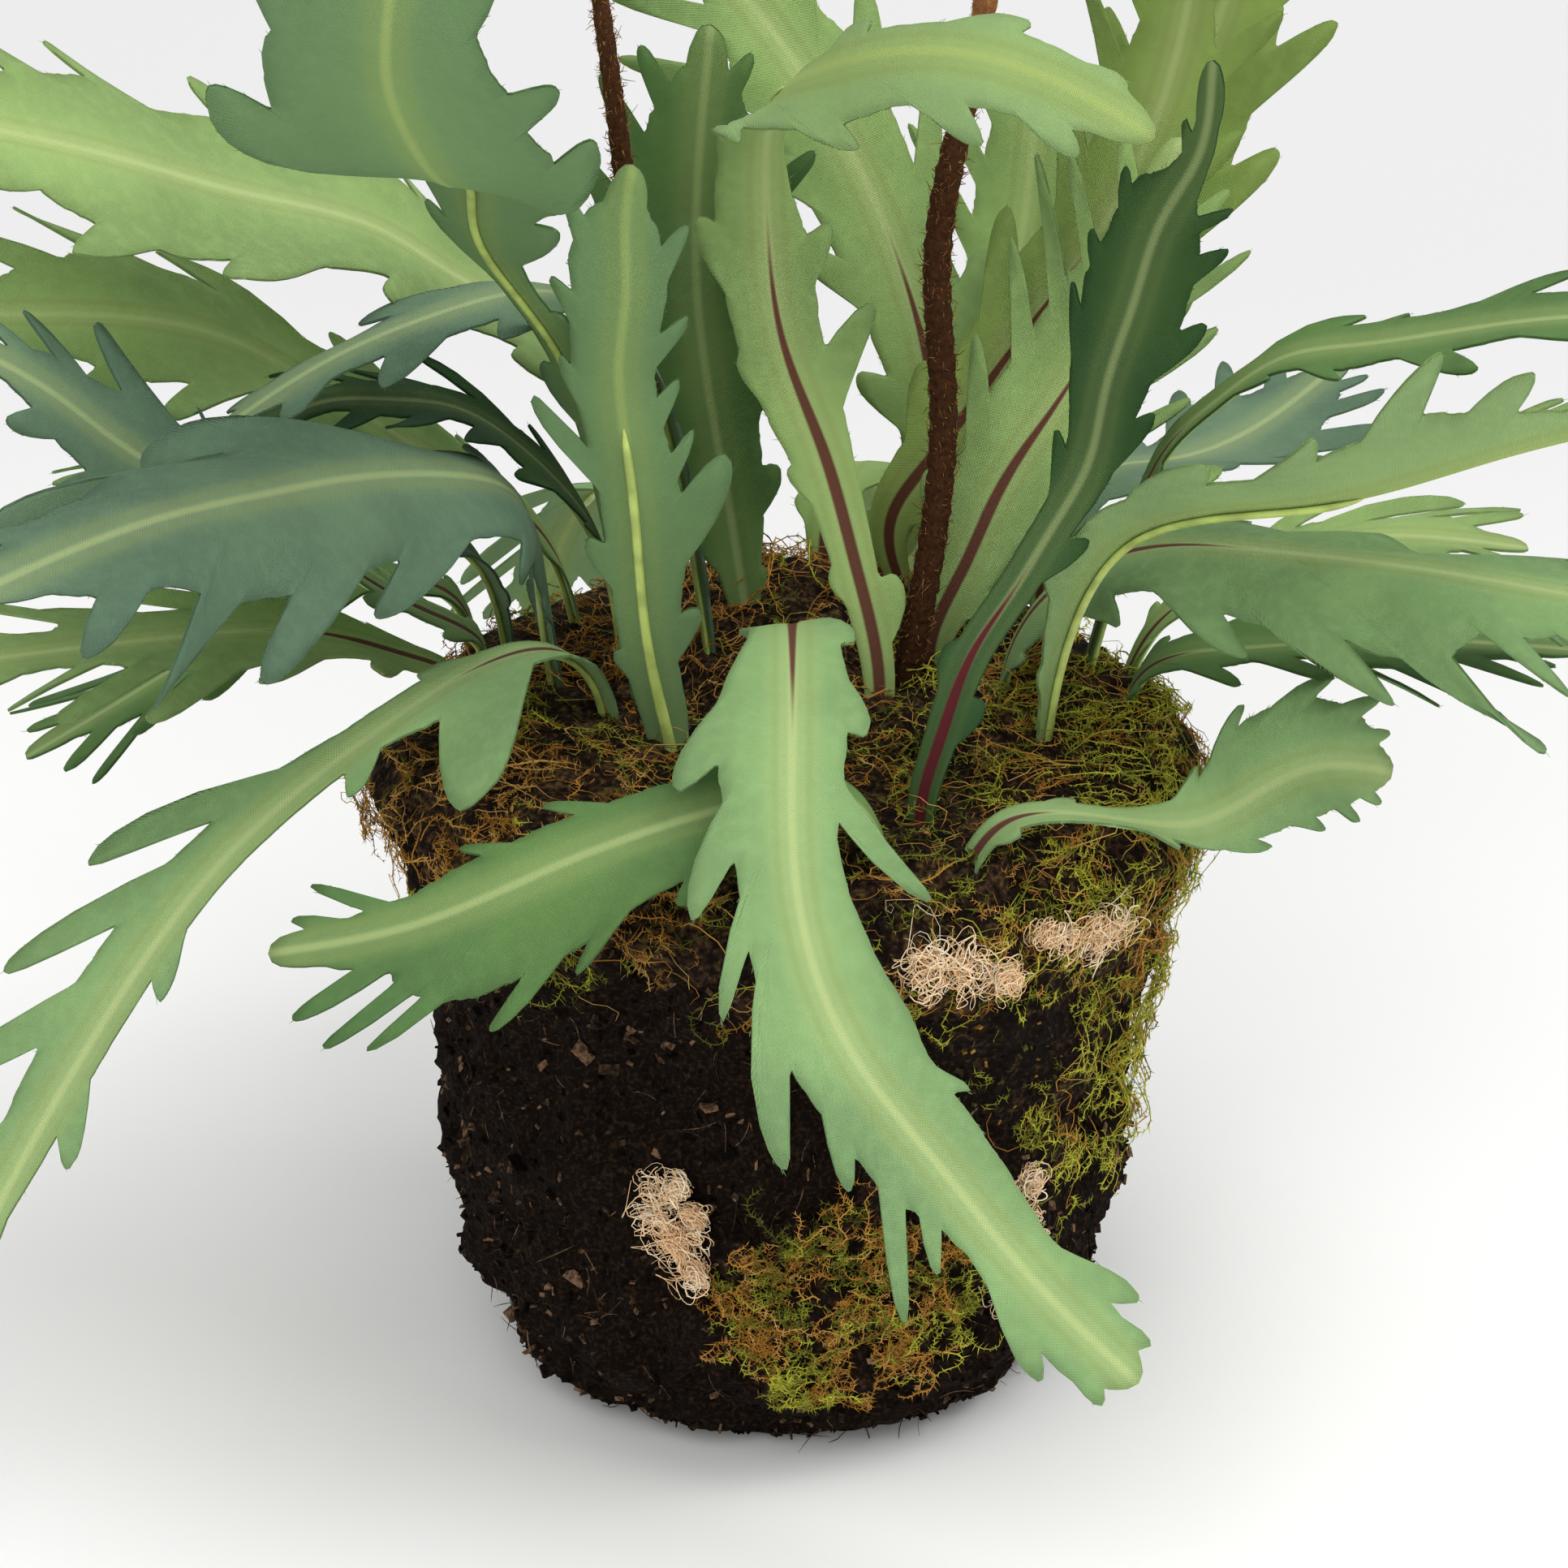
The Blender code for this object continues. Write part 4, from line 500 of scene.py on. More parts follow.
class FernColours(PropertyGroup):
    """Colours of the dressing, linear."""
    sage: colour("Sage", "Greens of the front fronds", (0.30, 0.49, 0.20))
    leaf: colour("Leaf", "Greens of the fuller fronds", (0.14, 0.27, 0.085))
    # Grey is a green with painted sheen: its blue-grey cast stands in for the sky's sheen on the top side.
    grey: colour("Grey", "Greens of the blue-grey fronds", (0.165, 0.276, 0.17))
    # Pale is a light green made lighter by painted light that shines through the thin cloth.
    pale: colour("Pale", "Greens of the fronds at the back", (0.365, 0.545, 0.185))
    # Deep is the darkest fronds' own dark green, made darker still by painted shade.
    deep: colour("Deep", "Greens of the darkest fronds", (0.04, 0.105, 0.032))
    bright: colour("Bright", "Greens of the yellowest fronds", (0.33, 0.47, 0.12))
    midrib: colour("Midrib", "Cream band along the rib", (0.56, 0.66, 0.27))
    stripe: colour("Stripe", "Printed stripe near the stalk", (0.14, 0.004, 0.022))
    rib: colour("Rib", "Plastic rib under the blade", (0.42, 0.52, 0.14))
    peat: colour("Peat", "Root ball", (0.021, 0.012, 0.007))
    moss_green: colour("Moss green", "Fresh moss", (0.50, 0.49, 0.055))
    moss_rust: colour("Moss rust", "Rust fibres in the moss", (0.36, 0.17, 0.03))
    tan: colour("Tan", "Curled fibre", (0.84, 0.56, 0.32))
    fur: colour("Fur", "Hairs of the stems", (0.26, 0.105, 0.042))


def run_along(path):
    """Length run from the start of a path to each of its points."""
    return np.concatenate([[0], np.cumsum(np.linalg.norm(np.diff(path, axis=0), axis=1))])


def natural_spline(points, count, fine_count=2000):
    """Natural cubic spline through the points, sampled at even steps of its length, and that length."""
    p = np.asarray(points, float)
    t = run_along(p)
    h = np.diff(t)
    n = len(p)
    system = np.eye(n)
    rhs = np.zeros((n, 3))
    for i in range(1, n - 1):
        system[i, i - 1:i + 2] = h[i - 1], 2 * (h[i - 1] + h[i]), h[i]
        rhs[i] = 3 * ((p[i + 1] - p[i]) / h[i] - (p[i] - p[i - 1]) / h[i - 1])
    c = np.linalg.solve(system, rhs)

    def at(q):
        k = np.clip(np.searchsorted(t, q, side="right") - 1, 0, n - 2)
        d = (q - t[k])[:, None]
        slope = (p[k + 1] - p[k]) / h[k][:, None] - h[k][:, None] * (2 * c[k] + c[k + 1]) / 3
        cubic = (c[k + 1] - c[k]) / (3 * h[k][:, None])
        return p[k] + d * (slope + d * (c[k] + d * cubic))

    fine = np.linspace(0, t[-1], fine_count)
    run = run_along(at(fine))
    even = np.interp(np.linspace(0, run[-1], count), run, fine)
    return at(even), run[-1]


def unit(v):
    """Vectors scaled to length one."""
    return v / np.maximum(np.linalg.norm(v, axis=-1, keepdims=True), 1e-12)


def smooth_step(value, low, high):
    """0 below low, 1 above high and an S curve between."""
    share = np.clip((value - low) / (high - low), 0, 1)
    return share * share * (3 - 2 * share)


def waves(points, size, seed, count=8):
    """Smooth uneven field between about -1 and 1: a sum of sine waves in drawn directions.

    size is the wavelength in mm, which is drawn between 0.8 and 1.6 times as long.
    """
    rng = np.random.default_rng(seed)
    flat = points.reshape(-1, 3)
    total = np.zeros(len(flat))
    for _ in range(count):
        direction = rng.normal(size=3)
        direction /= np.linalg.norm(direction)
        wavelength = size * rng.uniform(0.8, 1.6)
        total += np.sin(flat @ direction * (TURN / wavelength) + rng.uniform(0, 6.28))
    return (total * 2 / count).reshape(points.shape[:-1])


class Skin:
    """Gathers grids and tubes into one mesh, with a cloth map and a tone for each point."""

    def __init__(self):
        self.points = []
        self.maps = []
        self.tones = []
        self.quads = []
        self.triangles = []
        self.count = 0

    def add(self, points, *patches, tone=0.5, cloth_map=None):
        """Add points in mm, and patches of (faces that index them, material's number, smooth or not)."""
        points = np.asarray(points, float).reshape(-1, 3)
        n = len(points)
        self.points.append(points)
        self.maps.append(np.zeros((n, 2)) if cloth_map is None else np.asarray(cloth_map).reshape(-1, 2))
        self.tones.append(np.broadcast_to(tone, n))
        for faces, finish, smooth in patches:
            store = self.quads if faces.shape[1] == 4 else self.triangles
            marks = np.tile([finish, int(smooth)], (len(faces), 1))
            store.append(np.hstack([faces + self.count, marks]))
        self.count += n

    def make(self, name, materials):
        """Object at the origin with every part added so far. Points that no face uses are left out."""
        points = np.vstack(self.points)
        quads = np.vstack(self.quads) if self.quads else np.zeros((0, 6), int)
        triangles = np.vstack(self.triangles) if self.triangles else np.zeros((0, 5), int)
        corners = np.concatenate([quads[:, :4].ravel(), triangles[:, :3].ravel()])
        used, corners = np.unique(corners, return_inverse=True)
        sizes = np.concatenate([np.full(len(quads), 4), np.full(len(triangles), 3)])
        marks = np.vstack([quads[:, 4:], triangles[:, 3:]])
        mesh = bpy.data.meshes.new(name)
        mesh.vertices.add(len(used))
        mesh.vertices.foreach_set("co", (points[used] * MM).ravel())
        mesh.loops.add(len(corners))
        mesh.loops.foreach_set("vertex_index", corners.ravel().astype(np.int32))
        mesh.polygons.add(len(sizes))
        mesh.polygons.foreach_set("loop_start", np.concatenate([[0], np.cumsum(sizes)[:-1]]).astype(np.int32))
        mesh.polygons.foreach_set("material_index", marks[:, 0].astype(np.int32))
        mesh.polygons.foreach_set("use_smooth", marks[:, 1].astype(bool))
        layer = mesh.uv_layers.new(name="cloth")
        layer.data.foreach_set("uv", np.vstack(self.maps)[used][corners.ravel()].ravel())
        tone = mesh.attributes.new("tone", "FLOAT", "POINT")
        tone.data.foreach_set("value", np.concatenate(self.tones)[used].astype(np.float32))
        mesh.update(calc_edges=True)
        mesh.validate()
        piece = bpy.data.objects.new(name, mesh)
        bpy.context.scene.collection.objects.link(piece)
        for material in materials:
            mesh.materials.append(material)
        return piece


def dress(piece, slot, *nodes):
    """Let a piece ride on the body and stand for its nodes. slot is not used."""
    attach(piece, "root")
    if nodes:
        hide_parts(*nodes)


def grid_quads(number):
    """Quads between the neighbours of a grid of point numbers."""
    corners = [number[:-1, :-1], number[:-1, 1:], number[1:, 1:], number[1:, :-1]]
    return np.stack(corners, axis=-1).reshape(-1, 4)


def ring_quads(rows, columns):
    """Quads between rows of points, each row a closed ring."""
    number = np.arange(rows * columns).reshape(rows, columns)
    return grid_quads(np.hstack([number, number[:, :1]]))


def closed_rings(rings, first, last, finish=0, smooth_first=True, flipped=False):
    """Points and patches of one closed surface: rings of points, and a fan to a point at either end."""
    rows, columns = rings.shape[:2]
    here = np.arange(columns)
    after = (here + 1) % columns
    end = (rows - 1) * columns
    first_fan = np.stack([after, here, np.full(columns, rows * columns)], axis=1)
    last_fan = np.stack([end + here, end + after, np.full(columns, rows * columns + 1)], axis=1)
    faces = [ring_quads(rows, columns), first_fan, last_fan]
    if flipped:
        faces = [corners[:, ::-1] for corners in faces]
    patches = [(corners, finish, smooth) for corners, smooth in zip(faces, (True, smooth_first, True))]
    return np.vstack([rings.reshape(-1, 3), first, last]), patches


def circle(sides, side, other):
    """Points of a circle of radius one about each place: cosine times one direction, sine times another."""
    turn = np.linspace(0, TURN, sides, endpoint=False)[:, None]
    return np.cos(turn) * side[..., None, :] + np.sin(turn) * other[..., None, :]


def carried_frames(path):
    """Two directions square to a path, carried along it without twist."""
    tangent = unit(np.gradient(path, axis=0))
    side = [unit(np.cross(tangent[0], [0.0, 1.0, 0.3]))]
    for t in tangent[1:]:
        side.append(unit(side[-1] - np.dot(side[-1], t) * t))
    side = np.array(side)
    return side, np.cross(tangent, side)


def add_tube(skin, path, radius, frames, sides, tone):
    """One tube: a circle at each point of the path, square to it, with closed ends. tone: one a point."""
    rings = path[:, None] + circle(sides, *frames) * radius[:, None, None]
    points, patches = closed_rings(rings, path[:1], path[-1:])
    skin.add(points, *patches, tone=np.concatenate([np.repeat(tone, sides), tone[:1], tone[-1:]]))


def add_fibres(skin, paths, radius, tone=0.5, cloth_map=None):
    """Many thin three-sided tubes at once. paths: (fibre, point, 3); radius and tone: one for each fibre.

    Each section is a triangle square to the path. It is widest at three eighths of the
    length and two fifths as wide at the tip.
    """
    count, stations = paths.shape[:2]
    tangent = unit(np.gradient(paths, axis=1))
    whole = paths[:, -1] - paths[:, 0]
    side = unit(np.cross(tangent, askew(whole)[:, None]))
    taper = 1 - 0.6 * np.abs(np.linspace(-0.6, 1, stations)) ** 2
    width = np.broadcast_to(radius, count)[:, None] * taper
    points = paths[:, :, None] + circle(3, side, np.cross(tangent, side)) * width[:, :, None, None]
    each = 3 * stations
    caps = np.array([[0, 2, 1], [each - 3, each - 2, each - 1]])
    start = (np.arange(count) * each)[:, None, None]
    sides = ((start + ring_quads(stations, 3)).reshape(-1, 4), 0, True)
    ends = ((start + caps).reshape(-1, 3), 0, True)
    skin.add(points, sides, ends, tone=np.repeat(np.broadcast_to(tone, count), each), cloth_map=cloth_map)


def askew(direction):
    """A direction square to each given one, from a second one turned well away from it."""
    return np.cross(direction, np.roll(direction, 1, axis=1) + [0.3, 0.1, 0.2])


def add_spikes(skin, roots, tips, radius, tone):
    """Many thin three-sided spikes from root to tip, closed at the foot. tone: one for each spike."""
    axis = unit(tips - roots)
    side = unit(askew(axis))
    ring = circle(3, side, np.cross(axis, side))
    points = np.concatenate([roots[:, None] + ring * radius, tips[:, None]], axis=1)
    faces = np.array([(0, 1, 3), (1, 2, 3), (2, 0, 3), (0, 2, 1)])
    start = (np.arange(len(roots)) * 4)[:, None, None]
    skin.add(points, ((start + faces).reshape(-1, 3), 0, True), tone=np.repeat(tone, 4))


def lean(share):
    """Angle between a lobe and the rib: 58 near the root, 34 along the blade, none at the tip."""
    s = np.clip(share, 0, 1)
    return (LEAN + ROOT_LEAN_EXTRA * (1 - smooth_step(s, 0, 0.5))) * (1 - s ** 12) ** 0.5


def softened(values, reach):
    """Running mean of values over this many neighbours to each side."""
    width = 2 * reach + 1
    return np.convolve(np.pad(values, reach, mode="edge"), np.ones(width) / width, "valid")


class FrondForm:
    """The bent and lobed middle surface of one frond, as a function of rib share and reach.

    SAMPLES is the number of points along the route, and ROLL_SOFTNESS how many of them to
    each side soften the roll. Three waves run along the rib: one swings the fold, one the
    curl, and one lifts the outer blade. Each has its number of waves and its swing in
    degrees, as a part or in mm. The groove is the dip over the rib, in mm. The least curl
    keeps the arc of a straight half defined. The ragged edge is a sum of waves, its size in
    mm. The values from ROW_SAMPLES on place the rows.
    """

    SAMPLES = 400
    ROLL_SOFTNESS = 20
    FOLD_WAVES, FOLD_SWING = 2.3, 6
    CURL_WAVES, CURL_SWING = 4.1, 0.35
    LIFT_WAVES, LIFT_SWING = 6.7, 0.55
    GROOVE_DEPTH, GROOVE_WIDTH = 0.3, 1.3
    LEAST_CURL = 1e-5
    RAGGED = 0.35
    RAGGED_WAVES = (19, 43, 97, 171)
    ROW_SAMPLES = 4000
    EVEN_PART, LENGTH_PART = 60.0, 0.1
    TOP_BEND = 2.0
    TOP_SPEED = 3000

    def __init__(self, frond):
        self.frond = frond
        self.path, self.length = natural_spline(frond.route, self.SAMPLES)
        self.scale = frond.breadth * min(1.1, max(0.8, self.length / NOMINAL_LENGTH))
        self.rib = self.length - frond.cut.tip * self.scale
        self.phase = np.random.default_rng(frond.seed).uniform(0, TURN, 4)
        self.ragged = np.random.default_rng(frond.seed + 100).uniform(0, TURN, (2, 4))
        self.side, self.up = self.faced_frame() if frond.face else self.turned_frame()

    def faced_frame(self):
        """Side and up vectors along the rib, from the directions that the top side faces."""
        shares = [share for share, _ in self.frond.face]
        facing = np.array([direction for _, direction in self.frond.face], float)
        at = np.linspace(0, 1, self.SAMPLES)
        up = np.stack([np.interp(at, shares, facing[:, i]) for i in range(3)], axis=1)
        tangent = unit(np.gradient(self.path, axis=0))
        side = unit(np.cross(tangent, up))
        return side, np.cross(side, tangent)

    def turned_frame(self):
        """Side and up vectors along the rib: level across the bearing, then rolled."""
        bearing = math.radians(self.frond.bearing)
        across = np.array([math.sin(bearing), -math.cos(bearing), 0.0])
        tangent = unit(np.gradient(self.path, axis=0))
        side = unit(across - (tangent @ across)[:, None] * tangent)
        up = np.cross(side, tangent)
        roll = np.array(self.frond.roll, float)
        angle = np.interp(np.linspace(0, 1, self.SAMPLES), roll[:, 0], roll[:, 1])
        angle = np.radians(softened(angle, self.ROLL_SOFTNESS))[:, None]
        side = side * np.cos(angle) + up * np.sin(angle)
        return side, np.cross(side, tangent)

    def reach(self, hand, share):
        """Reach in mm along the lean on one side; hand -1 is left, +1 right. The edge is a little ragged."""
        left = (hand < 0) != self.frond.mirrored
        cut = self.frond.cut
        web = np.array(cut.web_left if left else cut.web_right)
        lobes = cut.left if left else cut.right
        reach = np.interp(share, web[:, 0], web[:, 1])
        for middle, length, half in lobes:
            lobe = np.clip(1 - np.abs((share - middle) / half) ** 2.6, 0, 1) ** 0.5
            reach = np.maximum(reach, length * lobe)
        at_tip = np.clip((share - 0.97) / 0.03, 0, 1)
        phase = self.ragged[0 if hand < 0 else 1]
        ragged = sum(np.sin(TURN * c * share + p) / c ** 0.4 for c, p in zip(self.RAGGED_WAVES, phase))
        reach = (reach * (1 - at_tip) + cut.tip * at_tip) * self.scale
        return np.maximum(reach + self.RAGGED * ragged * smooth_step(reach, 2, 8), BLADE_LEAST)

    def flat(self, share, reach, hand):
        """The same point on the blade laid flat: across and along."""
        angle = np.radians(lean(share))
        return hand * reach * np.sin(angle), share * self.rib + reach * np.cos(angle)

    def point(self, share, reach, hand):
        """Point in space. Each half bends across as an arc with its own fold and curl, and ripples.

        Along the arc from the rib, the heading starts at the fold and grows by the curl for
        each mm, so out and lift are the sums of its cosine and sine.
        """
        across, along = self.flat(share, reach, 1.0)
        left = hand < 0
        lag = np.where(left, self.phase[0], self.phase[1])
        late = np.where(left, self.phase[2], self.phase[3])
        wave = np.sin(TURN * self.FOLD_WAVES * share + lag) * np.clip(across / 6, 0, 1)
        fold = np.radians(np.where(left, *self.frond.fold) + self.FOLD_SWING * wave)
        ripple = np.sin(TURN * self.CURL_WAVES * share + late)
        curl = np.radians(np.where(left, *self.frond.curl)) * (1 + self.CURL_SWING * ripple)
        curl = np.where(np.abs(curl) < self.LEAST_CURL, self.LEAST_CURL, curl)
        out = (np.sin(fold + curl * across) - np.sin(fold)) / curl
        lift = (np.cos(fold) - np.cos(fold + curl * across)) / curl
        edge_wave = np.sin(TURN * self.LIFT_WAVES * share + 0.11 * across + late)
        lift = lift + self.LIFT_SWING * edge_wave * (across / 14) ** 2
        lift = lift - self.GROOVE_DEPTH * np.exp(-(across / self.GROOVE_WIDTH) ** 2)
        q = np.clip(along / self.length, 0, 1) * (self.SAMPLES - 1)
        k = np.clip(q.astype(int), 0, self.SAMPLES - 2)
        w = (q - k)[..., None]
        path = self.path[k] * (1 - w) + self.path[k + 1] * w
        side = self.side[k] * (1 - w) + self.side[k + 1] * w
        up = self.up[k] * (1 - w) + self.up[k + 1] * w
        return path + side * (hand * out)[..., None] + up * lift[..., None]

    def normal(self, share, reach, hand):
        """Unit normal of the top side, from small steps along and across."""
        s = np.clip(share, 0.002, 0.998)
        r = np.maximum(reach, 0.3)
        along = self.point(s + 0.002, r, hand) - self.point(s - 0.002, r, hand)
        across = self.point(s, r + 0.2, hand) - self.point(s, r - 0.2, hand)
        return unit(np.cross(across * np.asarray(hand)[..., None], along))

    def row_shares(self, rows):
        """Shares of the rib for the rows, closest where either outline bends most.

        The rows are even steps of a running sum: the root of the outline's bend times its
        speed, plus a part of its plain length and an even part. Bend and speed are held
        below their top values, so that no notch takes too many rows.
        """
        share = np.linspace(0, 1, self.ROW_SAMPLES)
        weight = np.full(self.ROW_SAMPLES, self.EVEN_PART)
        for hand in (-1, 1):
            x, y = self.flat(share, self.reach(hand, share), hand)
            dx, dy = np.gradient(x, share), np.gradient(y, share)
            speed = np.hypot(dx, dy)
            heading = np.unwrap(np.arctan2(dy, dx))
            bend = np.abs(np.gradient(heading, share)) / np.maximum(speed, 1e-6)
            bend = softened(bend, 4)
            speed = np.minimum(speed, self.TOP_SPEED)
            weight += np.sqrt(np.minimum(bend, self.TOP_BEND)) * speed + self.LENGTH_PART * speed
        total = np.concatenate([[0], np.cumsum((weight[1:] + weight[:-1]) / 2)])
        return np.interp(np.linspace(0, total[-1], rows), total, share)


def add_blade(skin, form, rows, columns, thick):
    """A frond's blade: top and underside as grids of rib share and reach, joined by the cut edge.

    Across, the reach grows with the power 1.3 of the column, so columns are close at the rib.
    At the tip both halves meet in one line, whose points they share.
    """
    share = form.row_shares(rows)
    column = np.linspace(-1, 1, 2 * columns + 1)
    hand = np.broadcast_to(np.where(column < 0, -1.0, 1.0), (rows, len(column)))
    edge = np.where(column < 0, form.reach(-1, share)[:, None], form.reach(1, share)[:, None])
    reach = edge * np.abs(column) ** 1.3
    shares = np.broadcast_to(share[:, None], reach.shape)
    middle = form.point(shares, reach, hand)
    normal = form.normal(shares, reach, hand)
    top = middle + normal * thick / 2
    under = middle - normal * thick / 2
    x, y = form.flat(shares, reach, hand)
    map_top = np.stack([TOP_MIDDLE + x / CLOTH_MAP, y / CLOTH_MAP], axis=-1).reshape(-1, 2)
    map_under = map_top + [UNDER_MIDDLE - TOP_MIDDLE, 0]
    width = len(column)
    number = np.arange(rows * width).reshape(rows, width)
    number[-1, :columns] = number[-1, :columns:-1]
    below = number + rows * width
    sheet = grid_quads(number)
    skin.add(np.concatenate([top.reshape(-1, 3), under.reshape(-1, 3)]),
             (sheet, CLOTH_TOP, True),
             (sheet[:, ::-1] + rows * width, CLOTH_UNDER, True),
             (wall(number[:, 0], below[:, 0]), CLOTH_TOP, False),
             (wall(below[:, -1], number[:, -1]), CLOTH_TOP, False),
             (wall(below[0], number[0]), CLOTH_TOP, False),
             cloth_map=np.concatenate([map_top, map_under]))


def wall(upper, lower):
    """Quads between two rows of point numbers."""
    return np.stack([upper[:-1], upper[1:], lower[1:], lower[:-1]], axis=1)


def add_rib(skin, form, thick):
    """Plastic rib: an oval bead under the blade from the root to where it ends, thinner to its end.

    Each section is a circle stretched to half the breadth across and half the depth along
    the blade's normal. The rings are closer together where the bead runs out.
    """
    slimming = RIB_END - 0.03
    share = np.concatenate([np.linspace(0.004, slimming, 48), slimming + 0.04 * np.linspace(0.1, 1, 8)])
    path = form.point(share, np.zeros(len(share)), np.ones(len(share)))
    normal = form.normal(share, np.zeros(len(share)), np.ones(len(share)))
    side = unit(np.cross(np.gradient(path, axis=0), normal))
    slim = np.sqrt(np.clip((RIB_END + 0.012 - share) / 0.05, 0.02, 1))
    half = (RIB_HALF + RIB_ROOT_EXTRA * smooth_step(share, 0.35, 0)) * slim
    deep = RIB_HALF_DEPTH * slim
    centre = path - normal * (thick / 2 + deep - RIB_SUNK)[:, None]
    rings = centre[:, None] + circle(RIB_SIDES, side * half[:, None], normal * deep[:, None])
    points, patches = closed_rings(rings, centre[:1], centre[-1:], RIB, flipped=True)
    skin.add(points, *patches)


def add_loose_threads(skin, form, count, seed, stations=3):
    """Frayed threads: short fibres that leave the cut edge outward and bend away."""
    rng = np.random.default_rng(seed + 200)
    share = rng.uniform(0.03, 0.97, count)
    hand = rng.choice([-1.0, 1.0], count)
    edge = np.where(hand < 0, form.reach(-1, share), form.reach(1, share))
    start = form.point(share, edge - 0.1, hand)
    inner = form.point(share, np.maximum(edge - 1.2, 0), hand)
    outward = unit(start - inner)
    away = unit(outward + rng.normal(0, 0.5, (count, 3)))
    length = rng.uniform(0.3, 0.95, count)[:, None]
    steps = np.linspace(0, 1, stations)[None, :, None]
    run = outward[:, None] * steps * 0.6 + away[:, None] * steps ** 2 * 0.5
    paths = start[:, None] + run * length[:, None]
    green_part = np.tile([TOP_MIDDLE + 0.05, 0.5], (count * stations * 3, 1))
    add_fibres(skin, paths, THREAD_RADIUS, cloth_map=green_part)


def blank(name, roughness):
    """New material with its node tree and its shader node."""
    material = bpy.data.materials.new(name)
    material.use_nodes = True
    tree = material.node_tree
    shader = tree.nodes["Principled BSDF"]
    shader.inputs["Roughness"].default_value = roughness
    return material, tree, shader


def node(tree, kind, inputs=None, **settings):
    """New node with its settings, and its inputs set to numbers or linked to sockets."""
    new = tree.nodes.new(kind)
    for key, value in settings.items():
        setattr(new, key, value)
    for key, value in (inputs or {}).items():
        if isinstance(value, bpy.types.NodeSocket):
            tree.links.new(value, new.inputs[key])
        else:
            new.inputs[key].default_value = value
    return new


def calc(tree, operation, a, b=0.0):
    """Result of a math node."""
    return node(tree, "ShaderNodeMath", {0: a, 1: b}, operation=operation).outputs[0]


def product(tree, a, b):
    """One value or socket times another."""
    return calc(tree, "MULTIPLY", a, b)


def object_place(tree):
    """Place on the object, in metres."""
    return node(tree, "ShaderNodeTexCoord").outputs["Object"]


def span(tree, value, low, high, to_low=0.0, to_high=1.0):
    """S curve from to_low at low to to_high at high."""
    inputs = {"Value": value, "From Min": low, "From Max": high, "To Min": to_low, "To Max": to_high}
    return node(tree, "ShaderNodeMapRange", inputs, interpolation_type="SMOOTHSTEP").outputs["Result"]


def blend(tree, factor, a, b):
    """Two colours mixed by a factor."""
    both = [(*x, 1.0) if isinstance(x, (tuple, list)) and len(x) == 3 else x for x in (a, b)]
    return node(tree, "ShaderNodeMix", {0: factor, 6: both[0], 7: both[1]}, data_type="RGBA").outputs[2]


def noise(tree, place, scale, detail):
    """Noise value at a place in metres; scale is in waves per metre."""
    inputs = {"Vector": place, "Scale": scale, "Detail": detail}
    return node(tree, "ShaderNodeTexNoise", inputs).outputs[0]


def bump(tree, shader, height, depth, strength):
    """Let a height make the shader's bump; depth in mm."""
    inputs = {"Height": height, "Strength": strength, "Distance": depth * MM}
    tree.links.new(node(tree, "ShaderNodeBump", inputs).outputs[0], shader.inputs["Normal"])


def shades(base, factor, lift=(0, 0, 0)):
    """A colour times a factor, plus a lift."""
    return tuple(min(1.0, c * factor + k) for c, k in zip(base, lift))


def mottled_green(tree, base, away):
    """Green of the cloth: lighter towards the rib, darker in clouds and spots, with fine light specks."""
    place = object_place(tree)
    mottle = noise(tree, place, scale=62, detail=4)
    cloud = noise(tree, place, scale=24, detail=2)
    fine = noise(tree, place, scale=520, detail=2)
    spread = calc(tree, "ADD", away, product(tree, mottle, 9))
    inner, outer = shades(base, 1.10, (0.015, 0.012, 0.0)), shades(base, 0.84)
    green = blend(tree, span(tree, spread, 5, 17), inner, outer)
    green = blend(tree, span(tree, cloud, 0.42, 0.66, 0, 0.55), green, shades(base, 0.62, (0, 0.012, 0.018)))
    green = blend(tree, span(tree, mottle, 0.45, 0.72, 0, 0.35), green, shades(base, 0.66, (0, 0.006, 0.006)))
    return blend(tree, span(tree, fine, 0.4, 0.7, 0, 0.16), green, shades(base, 1.45))


def with_band(tree, green, away, y, strength, line_colour, side_colour):
    """Pale band along the rib: a wide soft halo, a thin darker line of painted shade to each side, and a
    bright middle line.
    """
    halo = product(tree, span(tree, away, 4.6, 0.4), span(tree, y, 14, 60, 0.18 * strength, 0.46 * strength))
    green = blend(tree, halo, green, tuple(line_colour))
    # Painted shade: a thin darker line to each side of the rib.
    line = product(tree, span(tree, away, 2.9, 2.1), span(tree, away, 1.3, 2.0))
    green = blend(tree, product(tree, line, 0.3 * strength), green, shades(side_colour, 0.75))
    middle_line = span(tree, away, 0.9, 0.15, 0, 0.25 + 0.35 * strength)
    return blend(tree, middle_line, green, shades(line_colour, 1.12, (0.03, 0.03, 0.03)))


def with_stripe(tree, green, away, y, half_width, red_end, stripe_colour):
    """Printed stripe along the rib that narrows and fades towards red_end, in mm from the root."""
    half = product(tree, span(tree, y, red_end, red_end * 0.45, 0.15, 1.0), half_width)
    inside = span(tree, calc(tree, "SUBTRACT", half, away), -0.2, 0.2)
    stripe = product(tree, inside, span(tree, y, red_end, red_end * 0.8, 0, 0.97))
    return blend(tree, stripe, green, tuple(stripe_colour))


